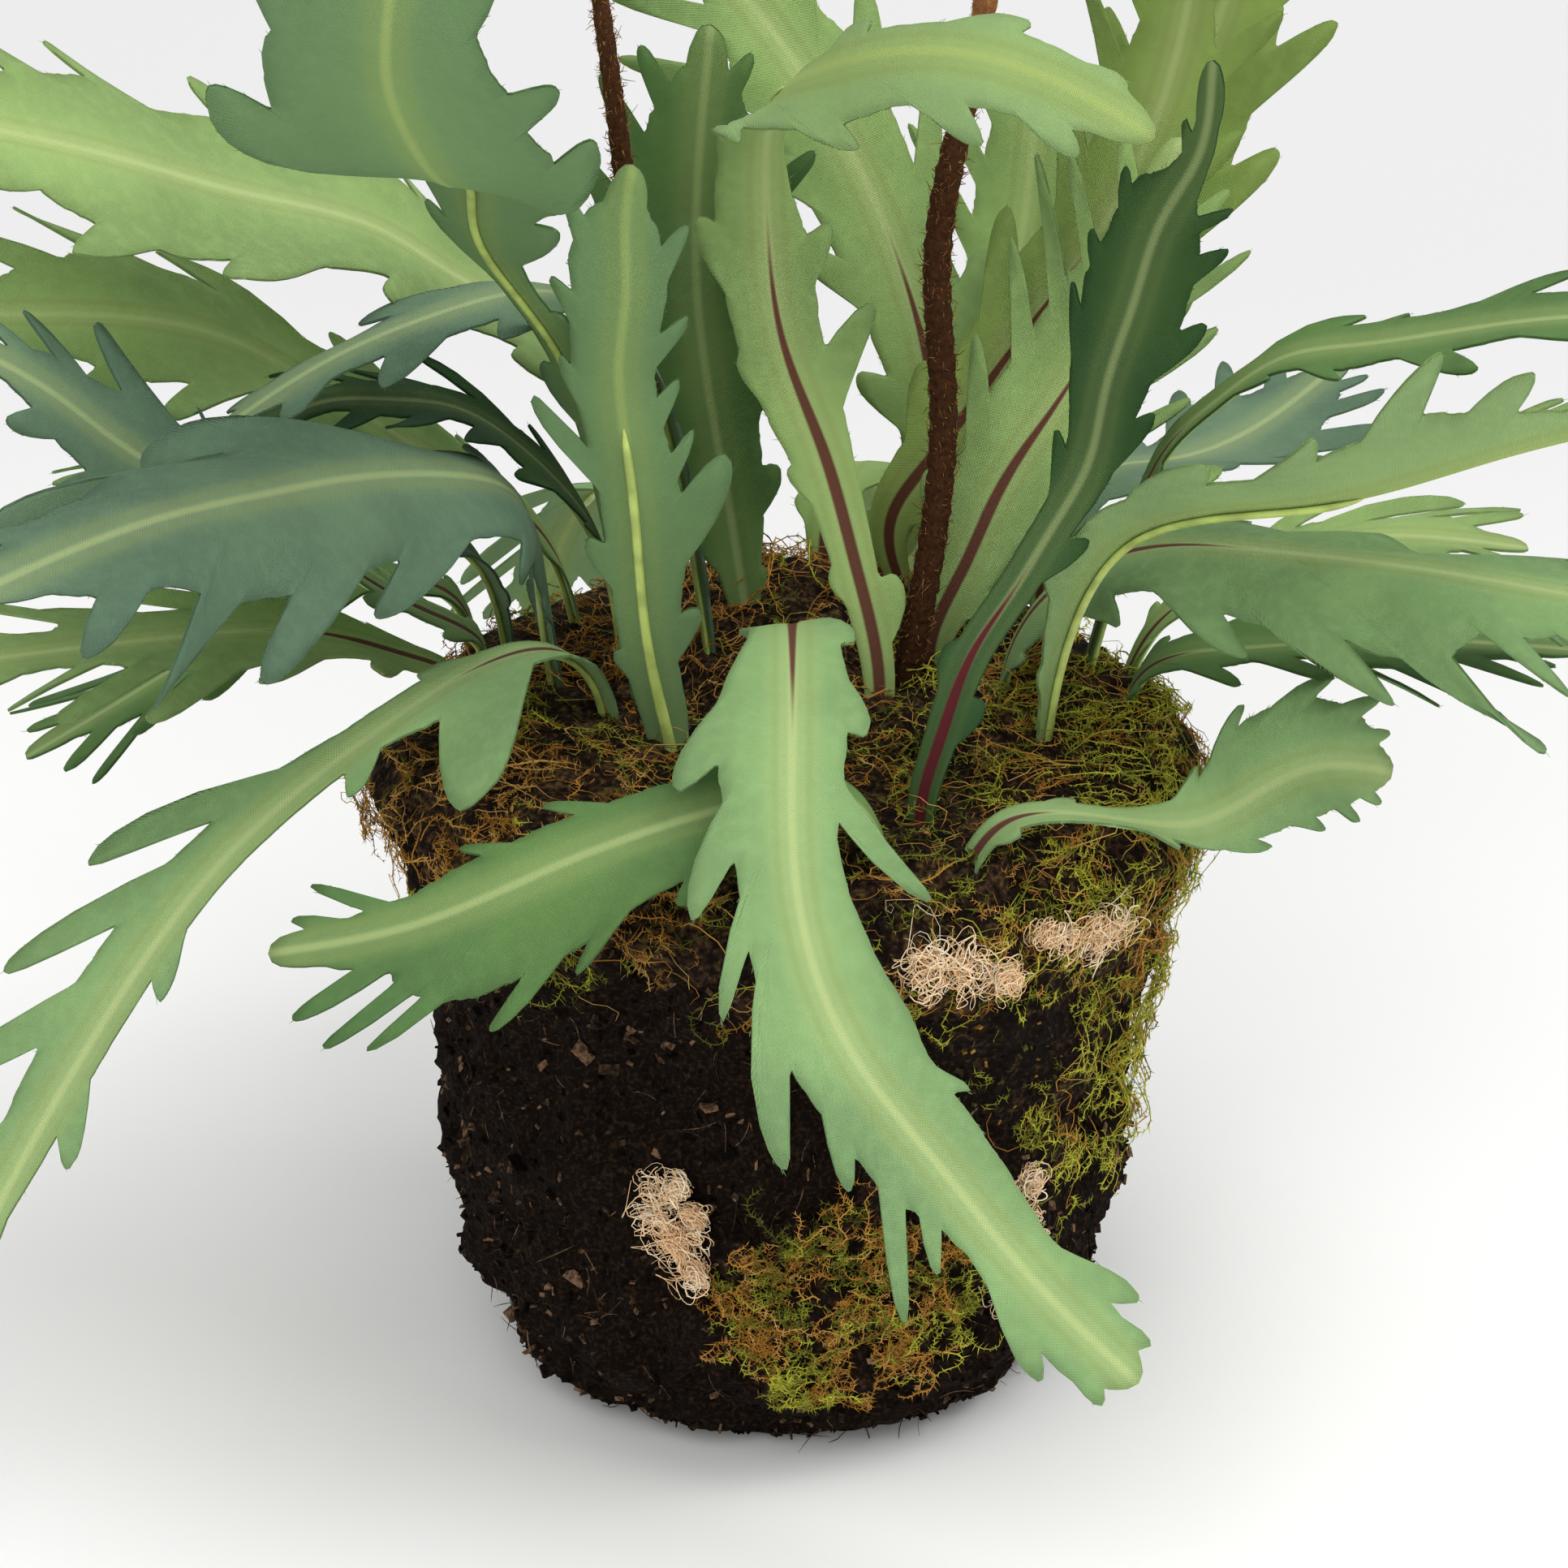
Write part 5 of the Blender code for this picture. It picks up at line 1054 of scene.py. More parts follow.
def cloth_material(name, base, colours, sizes, red_end, middle, under):
    """Woven, printed cloth on the cloth map: mottled green, the band along the rib, and the stripe.

    x and y are mm across and along the flat leaf. The weave is the product of two sine waves of the thread
    pitch. It makes the bump, and it paints shade that darkens the green in its low parts between the threads.
    """
    material, tree, shader = blank(name, roughness=0.82)
    where = node(tree, "ShaderNodeSeparateXYZ", {0: node(tree, "ShaderNodeUVMap", uv_map="cloth").outputs[0]})
    x = product(tree, calc(tree, "SUBTRACT", where.outputs[0], middle), CLOTH_MAP)
    y = product(tree, where.outputs[1], CLOTH_MAP)
    away = calc(tree, "ABSOLUTE", x)
    green = mottled_green(tree, base, away)
    # Underside: the green is blended paler, partly the cloth's own paler back and partly painted light that
    # shines through the thin cloth.
    if under:
        green = blend(tree, 0.38, green, (0.27, 0.42, 0.23))
    line_colour = colours.rib if under else colours.midrib
    green = with_band(tree, green, away, y, min(1.0, base[1] / 0.45), line_colour, colours.rib)
    if red_end > 0:
        green = with_stripe(tree, green, away, y, sizes.stripe_half, red_end, colours.stripe)
    turns = TURN / sizes.thread_pitch
    weave = product(tree, calc(tree, "SINE", product(tree, x, turns)),
                    calc(tree, "SINE", product(tree, y, turns)))
    # Painted shade: the green darkens in the weave's low parts between the threads.
    green = blend(tree, span(tree, weave, 0.4, -0.8, 0, 0.5), green, shades(base, 0.4))
    tree.links.new(green, shader.inputs["Base Color"])
    shader.inputs["Sheen Weight"].default_value = 0.0
    shader.inputs["Specular IOR Level"].default_value = 0.12
    shader.inputs["Subsurface Weight"].default_value = 0.12
    shader.inputs["Subsurface Radius"].default_value = (0.6, 1.0, 0.35)
    shader.inputs["Subsurface Scale"].default_value = 0.8 * MM
    bump(tree, shader, weave, depth=0.07, strength=0.9)
    return material


def rib_material(colours):
    """Yellow-green glossy plastic, cloudier in places."""
    material, tree, shader = blank("rib_plastic", roughness=0.38)
    cloud = noise(tree, object_place(tree), scale=260, detail=3)
    tint = blend(tree, span(tree, cloud, 0.3, 0.7), shades(colours.rib, 0.75), shades(colours.rib, 1.2))
    tree.links.new(tint, shader.inputs["Base Color"])
    shader.inputs["Subsurface Weight"].default_value = 0.35
    shader.inputs["Subsurface Radius"].default_value = (1.0, 1.0, 0.4)
    shader.inputs["Subsurface Scale"].default_value = 0.8 * MM
    bump(tree, shader, cloud, depth=0.2, strength=0.5)
    return material


def toned_material(name, stops, roughness, grain, depth, wander):
    """Fibre or grain whose colour follows each strand's tone through the stops, with noise along it.

    grain is the noise's waves a metre, depth its bump in mm, and wander how far it moves the tone.
    """
    material, tree, shader = blank(name, roughness)
    tone = node(tree, "ShaderNodeAttribute", attribute_name="tone").outputs["Fac"]
    grit = noise(tree, object_place(tree), grain, detail=3)
    value = calc(tree, "ADD", tone, product(tree, calc(tree, "SUBTRACT", grit, 0.5), wander))
    ramp = node(tree, "ShaderNodeValToRGB", {"Fac": value})
    for spare in list(ramp.color_ramp.elements)[1:]:
        ramp.color_ramp.elements.remove(spare)
    for k, (at, tint) in enumerate(stops):
        stop = ramp.color_ramp.elements[0] if k == 0 else ramp.color_ramp.elements.new(at)
        stop.position = at
        stop.color = (*tint, 1)
    tree.links.new(ramp.outputs[0], shader.inputs["Base Color"])
    shader.inputs["Specular IOR Level"].default_value = 0.06
    bump(tree, shader, grit, depth, strength=0.8)
    return material


def ball_surface(angle, step):
    """Point on the root ball and its outward direction.

    Step 0 is at the foot's edge, 1 at the shoulder and 2 at the middle of the top: a turned
    profile, then a quarter ellipse, with a mound at the back and slow lumps. All of it is
    as the solid has it.
    """
    side = np.array(BALL_SIDE, float)
    steps = np.linspace(0, 1, len(side))
    on_top = np.clip(step - SHOULDER, 0, 1)
    height = np.interp(step, steps, side[:, 0])
    radius = np.interp(step, steps, side[:, 1]) * np.cos(on_top * math.pi / 2)
    height = height + (BALL_TOP - side[-1, 0]) * np.sin(on_top * math.pi / 2)
    x = radius * np.cos(angle)
    y = radius * np.sin(angle)
    away = ((x - BALL_MOUND_AT[0]) ** 2 + (y - BALL_MOUND_AT[1]) ** 2) / BALL_MOUND_SPREAD ** 2
    z = height + BALL_MOUND * np.exp(-away) * np.clip((step - 0.85) / 0.2, 0, 1)
    points = np.stack([x, y, z], axis=-1)
    swell = BALL_LUMP * waves(points, BALL_LUMP_SIZE, BALL_LUMP_SEED) * np.clip(points[..., 2] / 6, 0, 1)
    tilt = on_top * 1.5
    outward = np.stack([np.cos(angle) * np.cos(tilt), np.sin(angle) * np.cos(tilt), np.sin(tilt)], axis=-1)
    return points + outward * swell[..., None], outward


def step_of_height(height):
    """Step on the root ball's side at a height."""
    side = np.array(BALL_SIDE, float)
    return np.interp(height, side[:, 0], np.linspace(0, 1, len(side)))


def crumble(points, seed):
    """Crumbly relief in mm: waves at four sizes, the finer ones sharpened so that grains stand out."""
    broad = waves(points, 9, seed)
    middle = waves(points, 4, seed + 1)
    small = 1 - np.abs(waves(points, 2.1, seed + 2, count=12)) * 2
    grain = 1 - np.abs(waves(points, 1.3, seed + 3, count=12)) * 2
    return 0.85 * broad + 0.6 * middle + 0.45 * small + 0.3 * grain


def peat_relief(points):
    """Relief of the peat in mm: crumbs over slow swellings on the lower half, none right at the foot."""
    swell = 1.3 * waves(points, 15, seed=35) * smooth_step(points[..., 2], 62, 40)
    return (crumble(points, seed=31) + swell) * smooth_step(points[..., 2], 0, 4)


def add_crumbs(skin, centres, size, seed, tone):
    """Small chips: a flattened, stretched cube with its corners drawn about, eight points each."""
    rng = np.random.default_rng(seed)
    cube = np.array([(x, y, z) for x in (-1, 1) for y in (-1, 1) for z in (-1, 1)], float) * CHIP_HALF
    faces = np.array([(0, 1, 3, 2), (4, 6, 7, 5), (0, 4, 5, 1), (2, 3, 7, 6), (0, 2, 6, 4), (1, 5, 7, 3)])
    turn = unit(rng.normal(size=(len(centres), 3)))
    other = unit(np.cross(turn, np.roll(turn, 1, axis=1) + 0.1))
    third = np.cross(turn, other)
    shape = cube[None] * rng.uniform(0.7, 1.3, (len(centres), 8, 3)) * CHIP_STRETCH
    long_way = shape[..., :1] * turn[:, None]
    wide_way = shape[..., 1:2] * other[:, None]
    thin_way = shape[..., 2:] * third[:, None]
    points = centres[:, None] + (long_way + wide_way + thin_way) * size[:, None, None]
    start = (np.arange(len(centres)) * 8)[:, None, None]
    skin.add(points, ((start + faces).reshape(-1, 4), 0, False), tone=np.repeat(tone, 8))


def spots_on_ball(count, low_step, high_step, rng):
    """Drawn places on the root ball, even by area, from low_step of the angle up to high_step.

    Of six times as many places, each is kept with a chance that follows the area that it
    stands for: its distance from the axis, times the length of a small step there, times
    the range of steps at its angle.
    """
    tries = count * 6
    angle = rng.uniform(-math.pi, math.pi, tries)
    low = low_step(angle)
    step = rng.uniform(0, 1, tries) * (high_step - low) + low
    points, _ = ball_surface(angle, step)
    later, _ = ball_surface(angle, step + 0.01)
    weight = np.hypot(points[:, 0], points[:, 1]) * np.linalg.norm(later - points, axis=1)
    weight *= high_step - low
    chosen = rng.choice(tries, count, replace=False, p=weight / weight.sum())
    return angle[chosen], step[chosen]


def level(step):
    """A lowest step that is the same at every angle."""
    return lambda angle: np.full(angle.shape, float(step))


def curved_paths(start, direction, bend, length, stations):
    """Paths that leave start along a direction and turn evenly towards a second one."""
    t = np.linspace(0, 1, stations)[None, :, None]
    return start[:, None] + (direction[:, None] * t + bend[:, None] * t ** 2) * length[:, None, None]


def add_peat_sheet(skin, columns=290, side_rows=104, top_rows=12):
    """The root ball's whole surface with crumbly relief: rings close together on the side, few on top."""
    angle = np.linspace(-math.pi, math.pi, columns, endpoint=False)
    step = np.concatenate([np.linspace(0, 1.15, side_rows), np.linspace(1.25, 1.95, top_rows)])
    base, outward = ball_surface(*np.broadcast_arrays(angle[None], step[:, None]))
    surface = base + outward * peat_relief(base)[..., None]
    foot_outward = unit(base[0] * [1, 1, 0])
    surface[0] += foot_outward * (0.9 * waves(base[0], 5, seed=36))[:, None]
    surface[..., 2] = np.maximum(surface[..., 2], 0)
    crown, _ = ball_surface(np.zeros(1), np.full(1, CROWN))
    points, patches = closed_rings(surface, [[0, 0, 0]], crown, smooth_first=False)
    skin.add(points, *patches, tone=0.35)


def add_peat_chips(skin, count, rng):
    """Loose chips on the peat, a few of them large, none through the floor."""
    at, up = spots_on_ball(count, level(0), PEAT_LAST_STEP, rng)
    place, out = ball_surface(at, up)
    size = rng.uniform(0.3, 0.8, count) ** 1.3 * np.where(rng.uniform(size=count) < 0.06, 2.2, 1)
    place = place + out * (peat_relief(place) + 0.1)[:, None]
    place[:, 2] = np.maximum(place[:, 2], CHIP_REACH * size)
    add_crumbs(skin, place, size, PEAT_CHIP_SEED, rng.uniform(0.1, 1.0, count) ** 1.3)


def add_peat_fibres(skin, count, rng):
    """Short fibres that lie nearly flat on the peat and bend to one side."""
    at, up = spots_on_ball(count, level(0.03), PEAT_LAST_STEP, rng)
    place, out = ball_surface(at, up)
    drawn = rng.normal(size=(count, 3))
    along = unit(drawn - out * (drawn * out).sum(1)[:, None] * 0.85)
    bend = unit(np.cross(along, out)) * rng.uniform(-0.7, 0.7, count)[:, None] + out * 0.12
    paths = curved_paths(place + out * 0.35, along, bend, rng.uniform(1.5, 5, count), stations=5)
    paths[..., 2] = np.maximum(paths[..., 2], 0.1)
    add_fibres(skin, paths, rng.uniform(*FIBRE_RADII, count), tone=rng.uniform(0.55, 1.0, count))


def build_root_ball(sizes, colours):
    """Peat: the root ball's surface with crumbly relief, loose chips and short fibres."""
    skin = Skin()
    add_peat_sheet(skin)
    rng = np.random.default_rng(PEAT_SEED)
    add_peat_chips(skin, sizes.crumbs, rng)
    add_peat_fibres(skin, sizes.peat_fibres, rng)
    peat = colours.peat
    stops = [(0.0, shades(peat, 0.1)), (0.35, shades(peat, 0.3)), (0.55, shades(peat, 1)),
             (0.78, shades(peat, 3.2)), (1.0, shades(peat, 9.5))]
    material = toned_material("peat_crumb", stops, roughness=0.95, grain=1500, depth=0.8, wander=1.1)
    dress(skin.make("root_ball_peat", [material]), "peat", "root_ball")


def moss_hem(bearing):
    """Height in mm of the upper moss's ragged hem at a bearing in radians."""
    hem = np.array(MOSS_HEM, float)
    turns = np.mod(bearing + math.pi, TURN) - math.pi
    ragged = 1.6 * np.sin(13 * turns + 1) + 1.1 * np.sin(29 * turns + 2) + 0.7 * np.sin(61 * turns)
    return np.interp(np.degrees(turns), hem[:, 0], hem[:, 1]) + ragged


def moss_lift(points, inside):
    """Height of the moss in mm over the root ball: none at the hem, uneven cushions inside it."""
    cushions = 2.0 + 0.95 * waves(points, 9, seed=11) + 0.55 * waves(points, 4.2, seed=52)
    grit = 0.25 * waves(points, 2.1, seed=53) + 0.18 * waves(points, 1.4, seed=54)
    return np.maximum(cushions + grit, 0.5) * smooth_step(inside, 0, 1)


def moss_strands(angle, step, length, stations, rng):
    """Paths over the moss: the heading turns evenly and shakes, and the height rises in one arch.

    The heading's cosine and sine, summed along the strand, run round the root ball and up
    it. Round it, mm become an angle by the radius; up it, they become steps by the pace,
    which is the mm in a step there.
    """
    count = len(angle)
    t = np.linspace(-0.5, 0.5, stations)[None]
    turn = rng.uniform(0, TURN, (count, 1))
    curve = rng.normal(0, 2.6, (count, 1))
    shake = rng.uniform(0.3, 1.3, (count, 1)) * np.sin(rng.uniform(6, 15, (count, 1)) * t + turn)
    heading = turn + curve * t + shake
    run_a = np.cumsum(np.cos(heading), axis=1) / stations * length[:, None]
    run_b = np.cumsum(np.sin(heading), axis=1) / stations * length[:, None]
    here, _ = ball_surface(angle, step)
    radius = np.maximum(np.hypot(here[:, 0], here[:, 1]), 8)[:, None]
    pace = np.linalg.norm(ball_surface(angle, step - 0.03)[0] - here, axis=1)[:, None] / 0.03
    steps = np.clip(step[:, None] + run_b / np.maximum(pace, 40), 0.1, CROWN - 0.01)
    base, out = ball_surface(angle[:, None] + run_a / radius, steps)
    rise = rng.uniform(-0.4, 1.0, (count, 1)) * (0.22 + 0.26 * smooth_step(step, 0.98, 1.15))[:, None]
    arch = rise * length[:, None].clip(0, 10) * np.cos(math.pi * t)
    ground = moss_lift(base, np.ones(base.shape[:2]))
    lift = ground + rng.uniform(0.1, 1.2, (count, 1)) + np.maximum(arch, -0.6)
    return base + out * lift[..., None], out


def add_feathered(skin, paths, out, barbs, rng, tone):
    """Moss strands: a thin stem with short barbs on both sides that lean towards its tip."""
    count, stations = paths.shape[:2]
    add_fibres(skin, paths, rng.uniform(*STRAND_RADII, count), tone=tone)
    share = np.linspace(0.06, 0.99, barbs) * (stations - 1)
    k = share.astype(int)
    w = (share - k)[None, :, None]
    roots = (paths[:, k] * (1 - w) + paths[:, k + 1] * w).repeat(2, axis=1)
    along = unit(paths[:, k + 1] - paths[:, k]).repeat(2, axis=1)
    hand = np.where(np.arange(barbs * 2) % 2 == 0, 1.0, -1.0)[None, :, None]
    aside = np.cross(along, out[:, k].repeat(2, axis=1)) * hand
    reach = rng.uniform(*BARB_REACH, (count, barbs * 2, 1)) * np.linspace(1.1, 0.6, barbs * 2)[None, :, None]
    tips = roots + unit(BARB_LEAN * along + aside + rng.normal(0, 0.45, roots.shape)) * reach
    shade = (tone[:, None] + rng.uniform(-0.05, 0.05, (count, barbs * 2))).reshape(-1)
    add_spikes(skin, roots.reshape(-1, 3), tips.reshape(-1, 3), BARB_RADIUS, shade)


def moss_material(colours):
    """Moss from near black through olive and yellow-green to rust, by tone."""
    green, rust = colours.moss_green, colours.moss_rust
    stops = [(0.0, (0.006, 0.004, 0.003)), (0.18, (0.024, 0.015, 0.008)),
             (0.3, shades(green, 0.18, (0, 0.01, 0.004))), (0.42, shades(green, 0.55, (0, 0.02, 0.004))),
             (0.56, shades(green, 1.2)), (0.64, shades(rust, 0.6)), (0.84, shades(rust, 1.35)),
             (1.0, shades(rust, 1.5, (0.04, 0.10, 0.06)))]
    return toned_material("moss", stops, roughness=0.9, grain=900, depth=0.3, wander=0.16)


def moss_ground(colours):
    """Tangled fibre and peat under the moss: near black, partly their own dark colour and partly painted
    shade deep in the moss, with brown, olive and rust specks.
    """
    # Painted shade: the near-black stops stand in for the shade deep among the strands.
    stops = [(0.0, (0.003, 0.002, 0.002)), (0.36, (0.010, 0.006, 0.004)), (0.52, (0.032, 0.018, 0.010)),
             (0.68, (0.080, 0.046, 0.020)), (0.84, shades(colours.moss_green, 0.2)),
             (1.0, shades(colours.moss_rust, 0.8))]
    return toned_material("moss_ground", stops, roughness=0.95, grain=1100, depth=0.9, wander=1.3)


def on_mound(points, spread):
    """1 at the middle of the dry mound, falling away as a bell whose width is the spread in mm."""
    x, y = points[..., 0] - DRY_MOUND_AT[0], points[..., 1] - DRY_MOUND_AT[1]
    return np.exp(-(x ** 2 + y ** 2) / spread ** 2)


def rust_share(points):
    """How rust-brown the moss is at a place: most at the back of the top and on its left, least low down."""
    left = smooth_step(points[..., 0], 5, -40) * 0.5
    side = smooth_step(points[..., 2], 70, 45) * 0.45
    patches = 0.35 * waves(points, 16, seed=71)
    return np.clip(0.40 + 0.5 * on_mound(points, 22) + left - side + patches, 0, 1)


def bare_share(points):
    """How bare of moss a place is: an oval window of peat on the front right side, with a ragged edge."""
    bearing = np.degrees(np.arctan2(points[..., 1], points[..., 0]))
    aside = (bearing - BARE_MIDDLE[0]) / BARE_HALF[0]
    above = (points[..., 2] - BARE_MIDDLE[1]) / BARE_HALF[1]
    return smooth_step(aside ** 2 + above ** 2 + 0.35 * waves(points, 7, seed=73), 1.1, 0.7)


def moss_tone(points, rng):
    """Drawn tones: rust in patches and most where the place is rust, else dark or fresh green."""
    likely = smooth_step(rust_share(points) + 0.45 * waves(points, 7, seed=75), 0.3, 0.9)
    rust = rng.uniform(size=len(points)) < likely
    fresh = smooth_step(points[..., 0], 10, 42) * 0.14 + 0.09 * waves(points, 5, seed=76)
    green = np.clip(rng.uniform(0.24, 0.46, len(points)) + fresh, 0.2, 0.57)
    return np.where(rust, rng.uniform(0.66, 1.0, len(points)), green)


def moss_spots(count, rng):
    """Places for strands on the upper moss: in clumps, thick on the right, hardly any in the bare window.

    Of four times as many places, those stay where a wave field passes a least value, which
    is low at the rim, on the right and on the mound. They are then thinned out by chance.
    """
    at, up = spots_on_ball(count * 4, lambda angle: step_of_height(moss_hem(angle)), CROWN - 0.03, rng)
    place, _ = ball_surface(at, up)
    right = smooth_step(place[:, 0], 14, 32) * smooth_step(place[:, 1], 25, 5)
    rim = smooth_step(place[:, 2], 70, 78)
    least = -0.05 - 0.25 * rim - 0.4 * right - 0.5 * on_mound(place, 20)
    thick = waves(place, 7, seed=74) + rng.normal(0, 0.22, len(at)) > least
    thinned = np.maximum(0.94 * bare_share(place), 0.5 * smooth_step(place[:, 1], 15, 38) * (1 - rim))
    thinned = np.maximum(thinned, 0.35 * (1 - right))
    kept = np.flatnonzero(thick & (rng.uniform(size=len(at)) > thinned))[:count]
    return at[kept], up[kept], place[kept]


def add_cover_sheet(skin, columns=230, rows=72):
    """Sheet of the upper moss: rings from its hem to the middle of the top, lifted as cushions."""
    angle = np.linspace(-math.pi, math.pi, columns, endpoint=False)
    hem = step_of_height(moss_hem(angle))
    share = np.linspace(0, 0.985, rows)[:, None]
    step = hem[None] + (CROWN - hem[None]) * share
    base, outward = ball_surface(np.broadcast_to(angle[None], step.shape), step)
    inside = np.broadcast_to(share, step.shape) * 9
    crumbs = 0.8 * bare_share(base) * crumble(base, seed=64) * inside.clip(0, 1)
    surface = base + outward * (moss_lift(base, inside) + 0.15 * inside.clip(0, 1) + crumbs)[..., None]
    surface[0] = base[0] - outward[0] * EDGE_SUNK
    crown, up = ball_surface(np.zeros(1), np.full(1, CROWN))
    points, patches = closed_rings(surface, [[0, 0, 58]], crown + up * 2.2, GROUND, smooth_first=False)
    uneven = 0.14 * waves(points, 5, seed=61)
    skin.add(points, *patches, tone=0.38 + uneven + 0.08 * rust_share(points) - 0.1 * bare_share(points))


def add_window_chips(skin, count, rng):
    """Chips of peat in the bare window, most of them dark."""
    at, up = spots_on_ball(count, level(step_of_height(42)), 1.05, rng)
    place, out = ball_surface(at, up)
    open_peat = bare_share(place) > 0.4
    place = (place + out * (moss_lift(place, np.ones(count)) + 0.1)[:, None])[open_peat]
    count = len(place)
    size = rng.uniform(0.2, 0.55, count)
    tone = np.where(rng.uniform(size=count) < 0.14, 0.64, rng.uniform(0.0, 0.27, count))
    add_crumbs(skin, place, size, WINDOW_CHIP_SEED, tone)


def add_cover_strands(skin, count, kind, rng):
    """Feathered strands of one kind on the upper moss, where moss_spots puts them."""
    reach, stations, barbs = kind
    at, up, place = moss_spots(count, rng)
    paths, out = moss_strands(at, up, rng.uniform(*reach, len(at)), stations, rng)
    add_feathered(skin, paths, out, barbs, rng, moss_tone(place, rng))


def build_moss_cover(sizes, colours):
    """Upper moss: a cushioned sheet under short feathered strands, with chips of peat in its window."""
    skin = Skin()
    add_cover_sheet(skin)
    rng = np.random.default_rng(COVER_SEED)
    add_cover_strands(skin, sizes.sprigs, COVER_SHORT, rng)
    add_window_chips(skin, sizes.crumbs, rng)
    piece = skin.make("moss_cover_sprigs", [moss_material(colours), moss_ground(colours)])
    dress(piece, "moss", "moss_cover")


def build_moss_fibres(sizes, colours):
    """Long strands over the upper moss: some feathered, the others bare rust, brown and tan fibres."""
    rng = np.random.default_rng(MOSS_FIBRE_SEED)
    skin = Skin()
    add_cover_strands(skin, sizes.long_strands, COVER_LONG, rng)
    at, up, place = moss_spots(sizes.moss_fibres, rng)
    paths, _ = moss_strands(at, up, rng.uniform(*BARE_LENGTH, len(at)), BARE_STATIONS, rng)
    tone = np.where(rng.uniform(size=len(at)) < 0.7, rng.uniform(0.68, 1, len(at)), moss_tone(place, rng))
    add_fibres(skin, paths, rng.uniform(*FIBRE_RADII, len(at)), tone=tone)
    dress(skin.make("moss_cover_fibres", [moss_material(colours)]), "moss")


def on_patch(turn, far):
    """Bearing in radians and height in mm of a place on the low patch, an oval: its turn, and how far out."""
    bearing = np.radians(PATCH_MIDDLE[0] + PATCH_HALF[0] * far * np.cos(turn))
    return bearing, PATCH_MIDDLE[1] + PATCH_HALF[1] * far * np.sin(turn)


def add_patch_sheet(skin, columns=150, rows=34, edge=1.04):
    """Sheet of the low patch: rings of a ragged oval, from its edge in, lifted as cushions."""
    turn = np.linspace(0, TURN, columns, endpoint=False)
    ragged = 1 + 0.13 * np.sin(5 * turn + 1) + 0.1 * np.cos(9 * turn) + 0.06 * np.sin(23 * turn)
    ring = np.linspace(edge, 0.02, rows)[:, None]
    bearing, height = on_patch(turn, ring * (1 + (ragged[None] - 1) * ring))
    base, outward = ball_surface(bearing, step_of_height(height))
    inside = (edge - ring) * 5
    cushion = 0.9 * moss_lift(base, np.broadcast_to(inside, bearing.shape)) + 0.2
    surface = base + outward * cushion[..., None]
    surface[0] = base[0] - outward[0] * EDGE_SUNK
    middle, out = ball_surface(np.radians(PATCH_MIDDLE[:1]), step_of_height(np.array(PATCH_MIDDLE[1:])))
    points, patches = closed_rings(surface, middle - out * 9, surface[-1].mean(0), GROUND, smooth_first=False)
    skin.add(points, *patches, tone=0.34 + 0.12 * waves(points, 4, seed=81))


def add_patch_strands(skin, count, rng):
    """Feathered strands in clumps on the low patch, a sixth of them long, the green freshest low down.

    Of three times as many places, those stay where a wave field is high enough.
    """
    bearing, height = on_patch(rng.uniform(0, TURN, count * 3), np.sqrt(rng.uniform(0, 1, count * 3)))
    step = step_of_height(height)
    place, _ = ball_surface(bearing, step)
    kept = np.flatnonzero(waves(place, 6, seed=84) + rng.normal(0, 0.2, len(place)) > 0.05)[:count]
    low = smooth_step(height[kept], 30, 18)
    rust = rng.uniform(size=len(kept)) < smooth_step(waves(place[kept], 7, seed=83), -0.1, 0.5)
    green = np.clip(rng.uniform(0.26, 0.46, len(kept)) + 0.14 * low, 0.2, 0.57)
    tone = np.where(rust, rng.uniform(0.7, 0.95, len(kept)), green)
    long = np.arange(len(kept)) < len(kept) // 6
    for share, (reach, stations, barbs) in ((long, PATCH_LONG), (~long, PATCH_SHORT)):
        chosen = kept[share]
        length = rng.uniform(*reach, len(chosen))
        paths, out = moss_strands(bearing[chosen], step[chosen], length, stations, rng)
        paths[..., 2] = np.maximum(paths[..., 2], 0.4)
        add_feathered(skin, paths, out, barbs, rng, tone[share])


def build_moss_patch(sizes, colours):
    """Low patch of moss on the front: an oval cushion with a ragged edge and feathered strands."""
    skin = Skin()
    add_patch_sheet(skin)
    add_patch_strands(skin, sizes.patch_sprigs, np.random.default_rng(PATCH_SEED))
    piece = skin.make("moss_patch_sprigs", [moss_material(colours), moss_ground(colours)])
    dress(piece, "moss", "moss_patch")


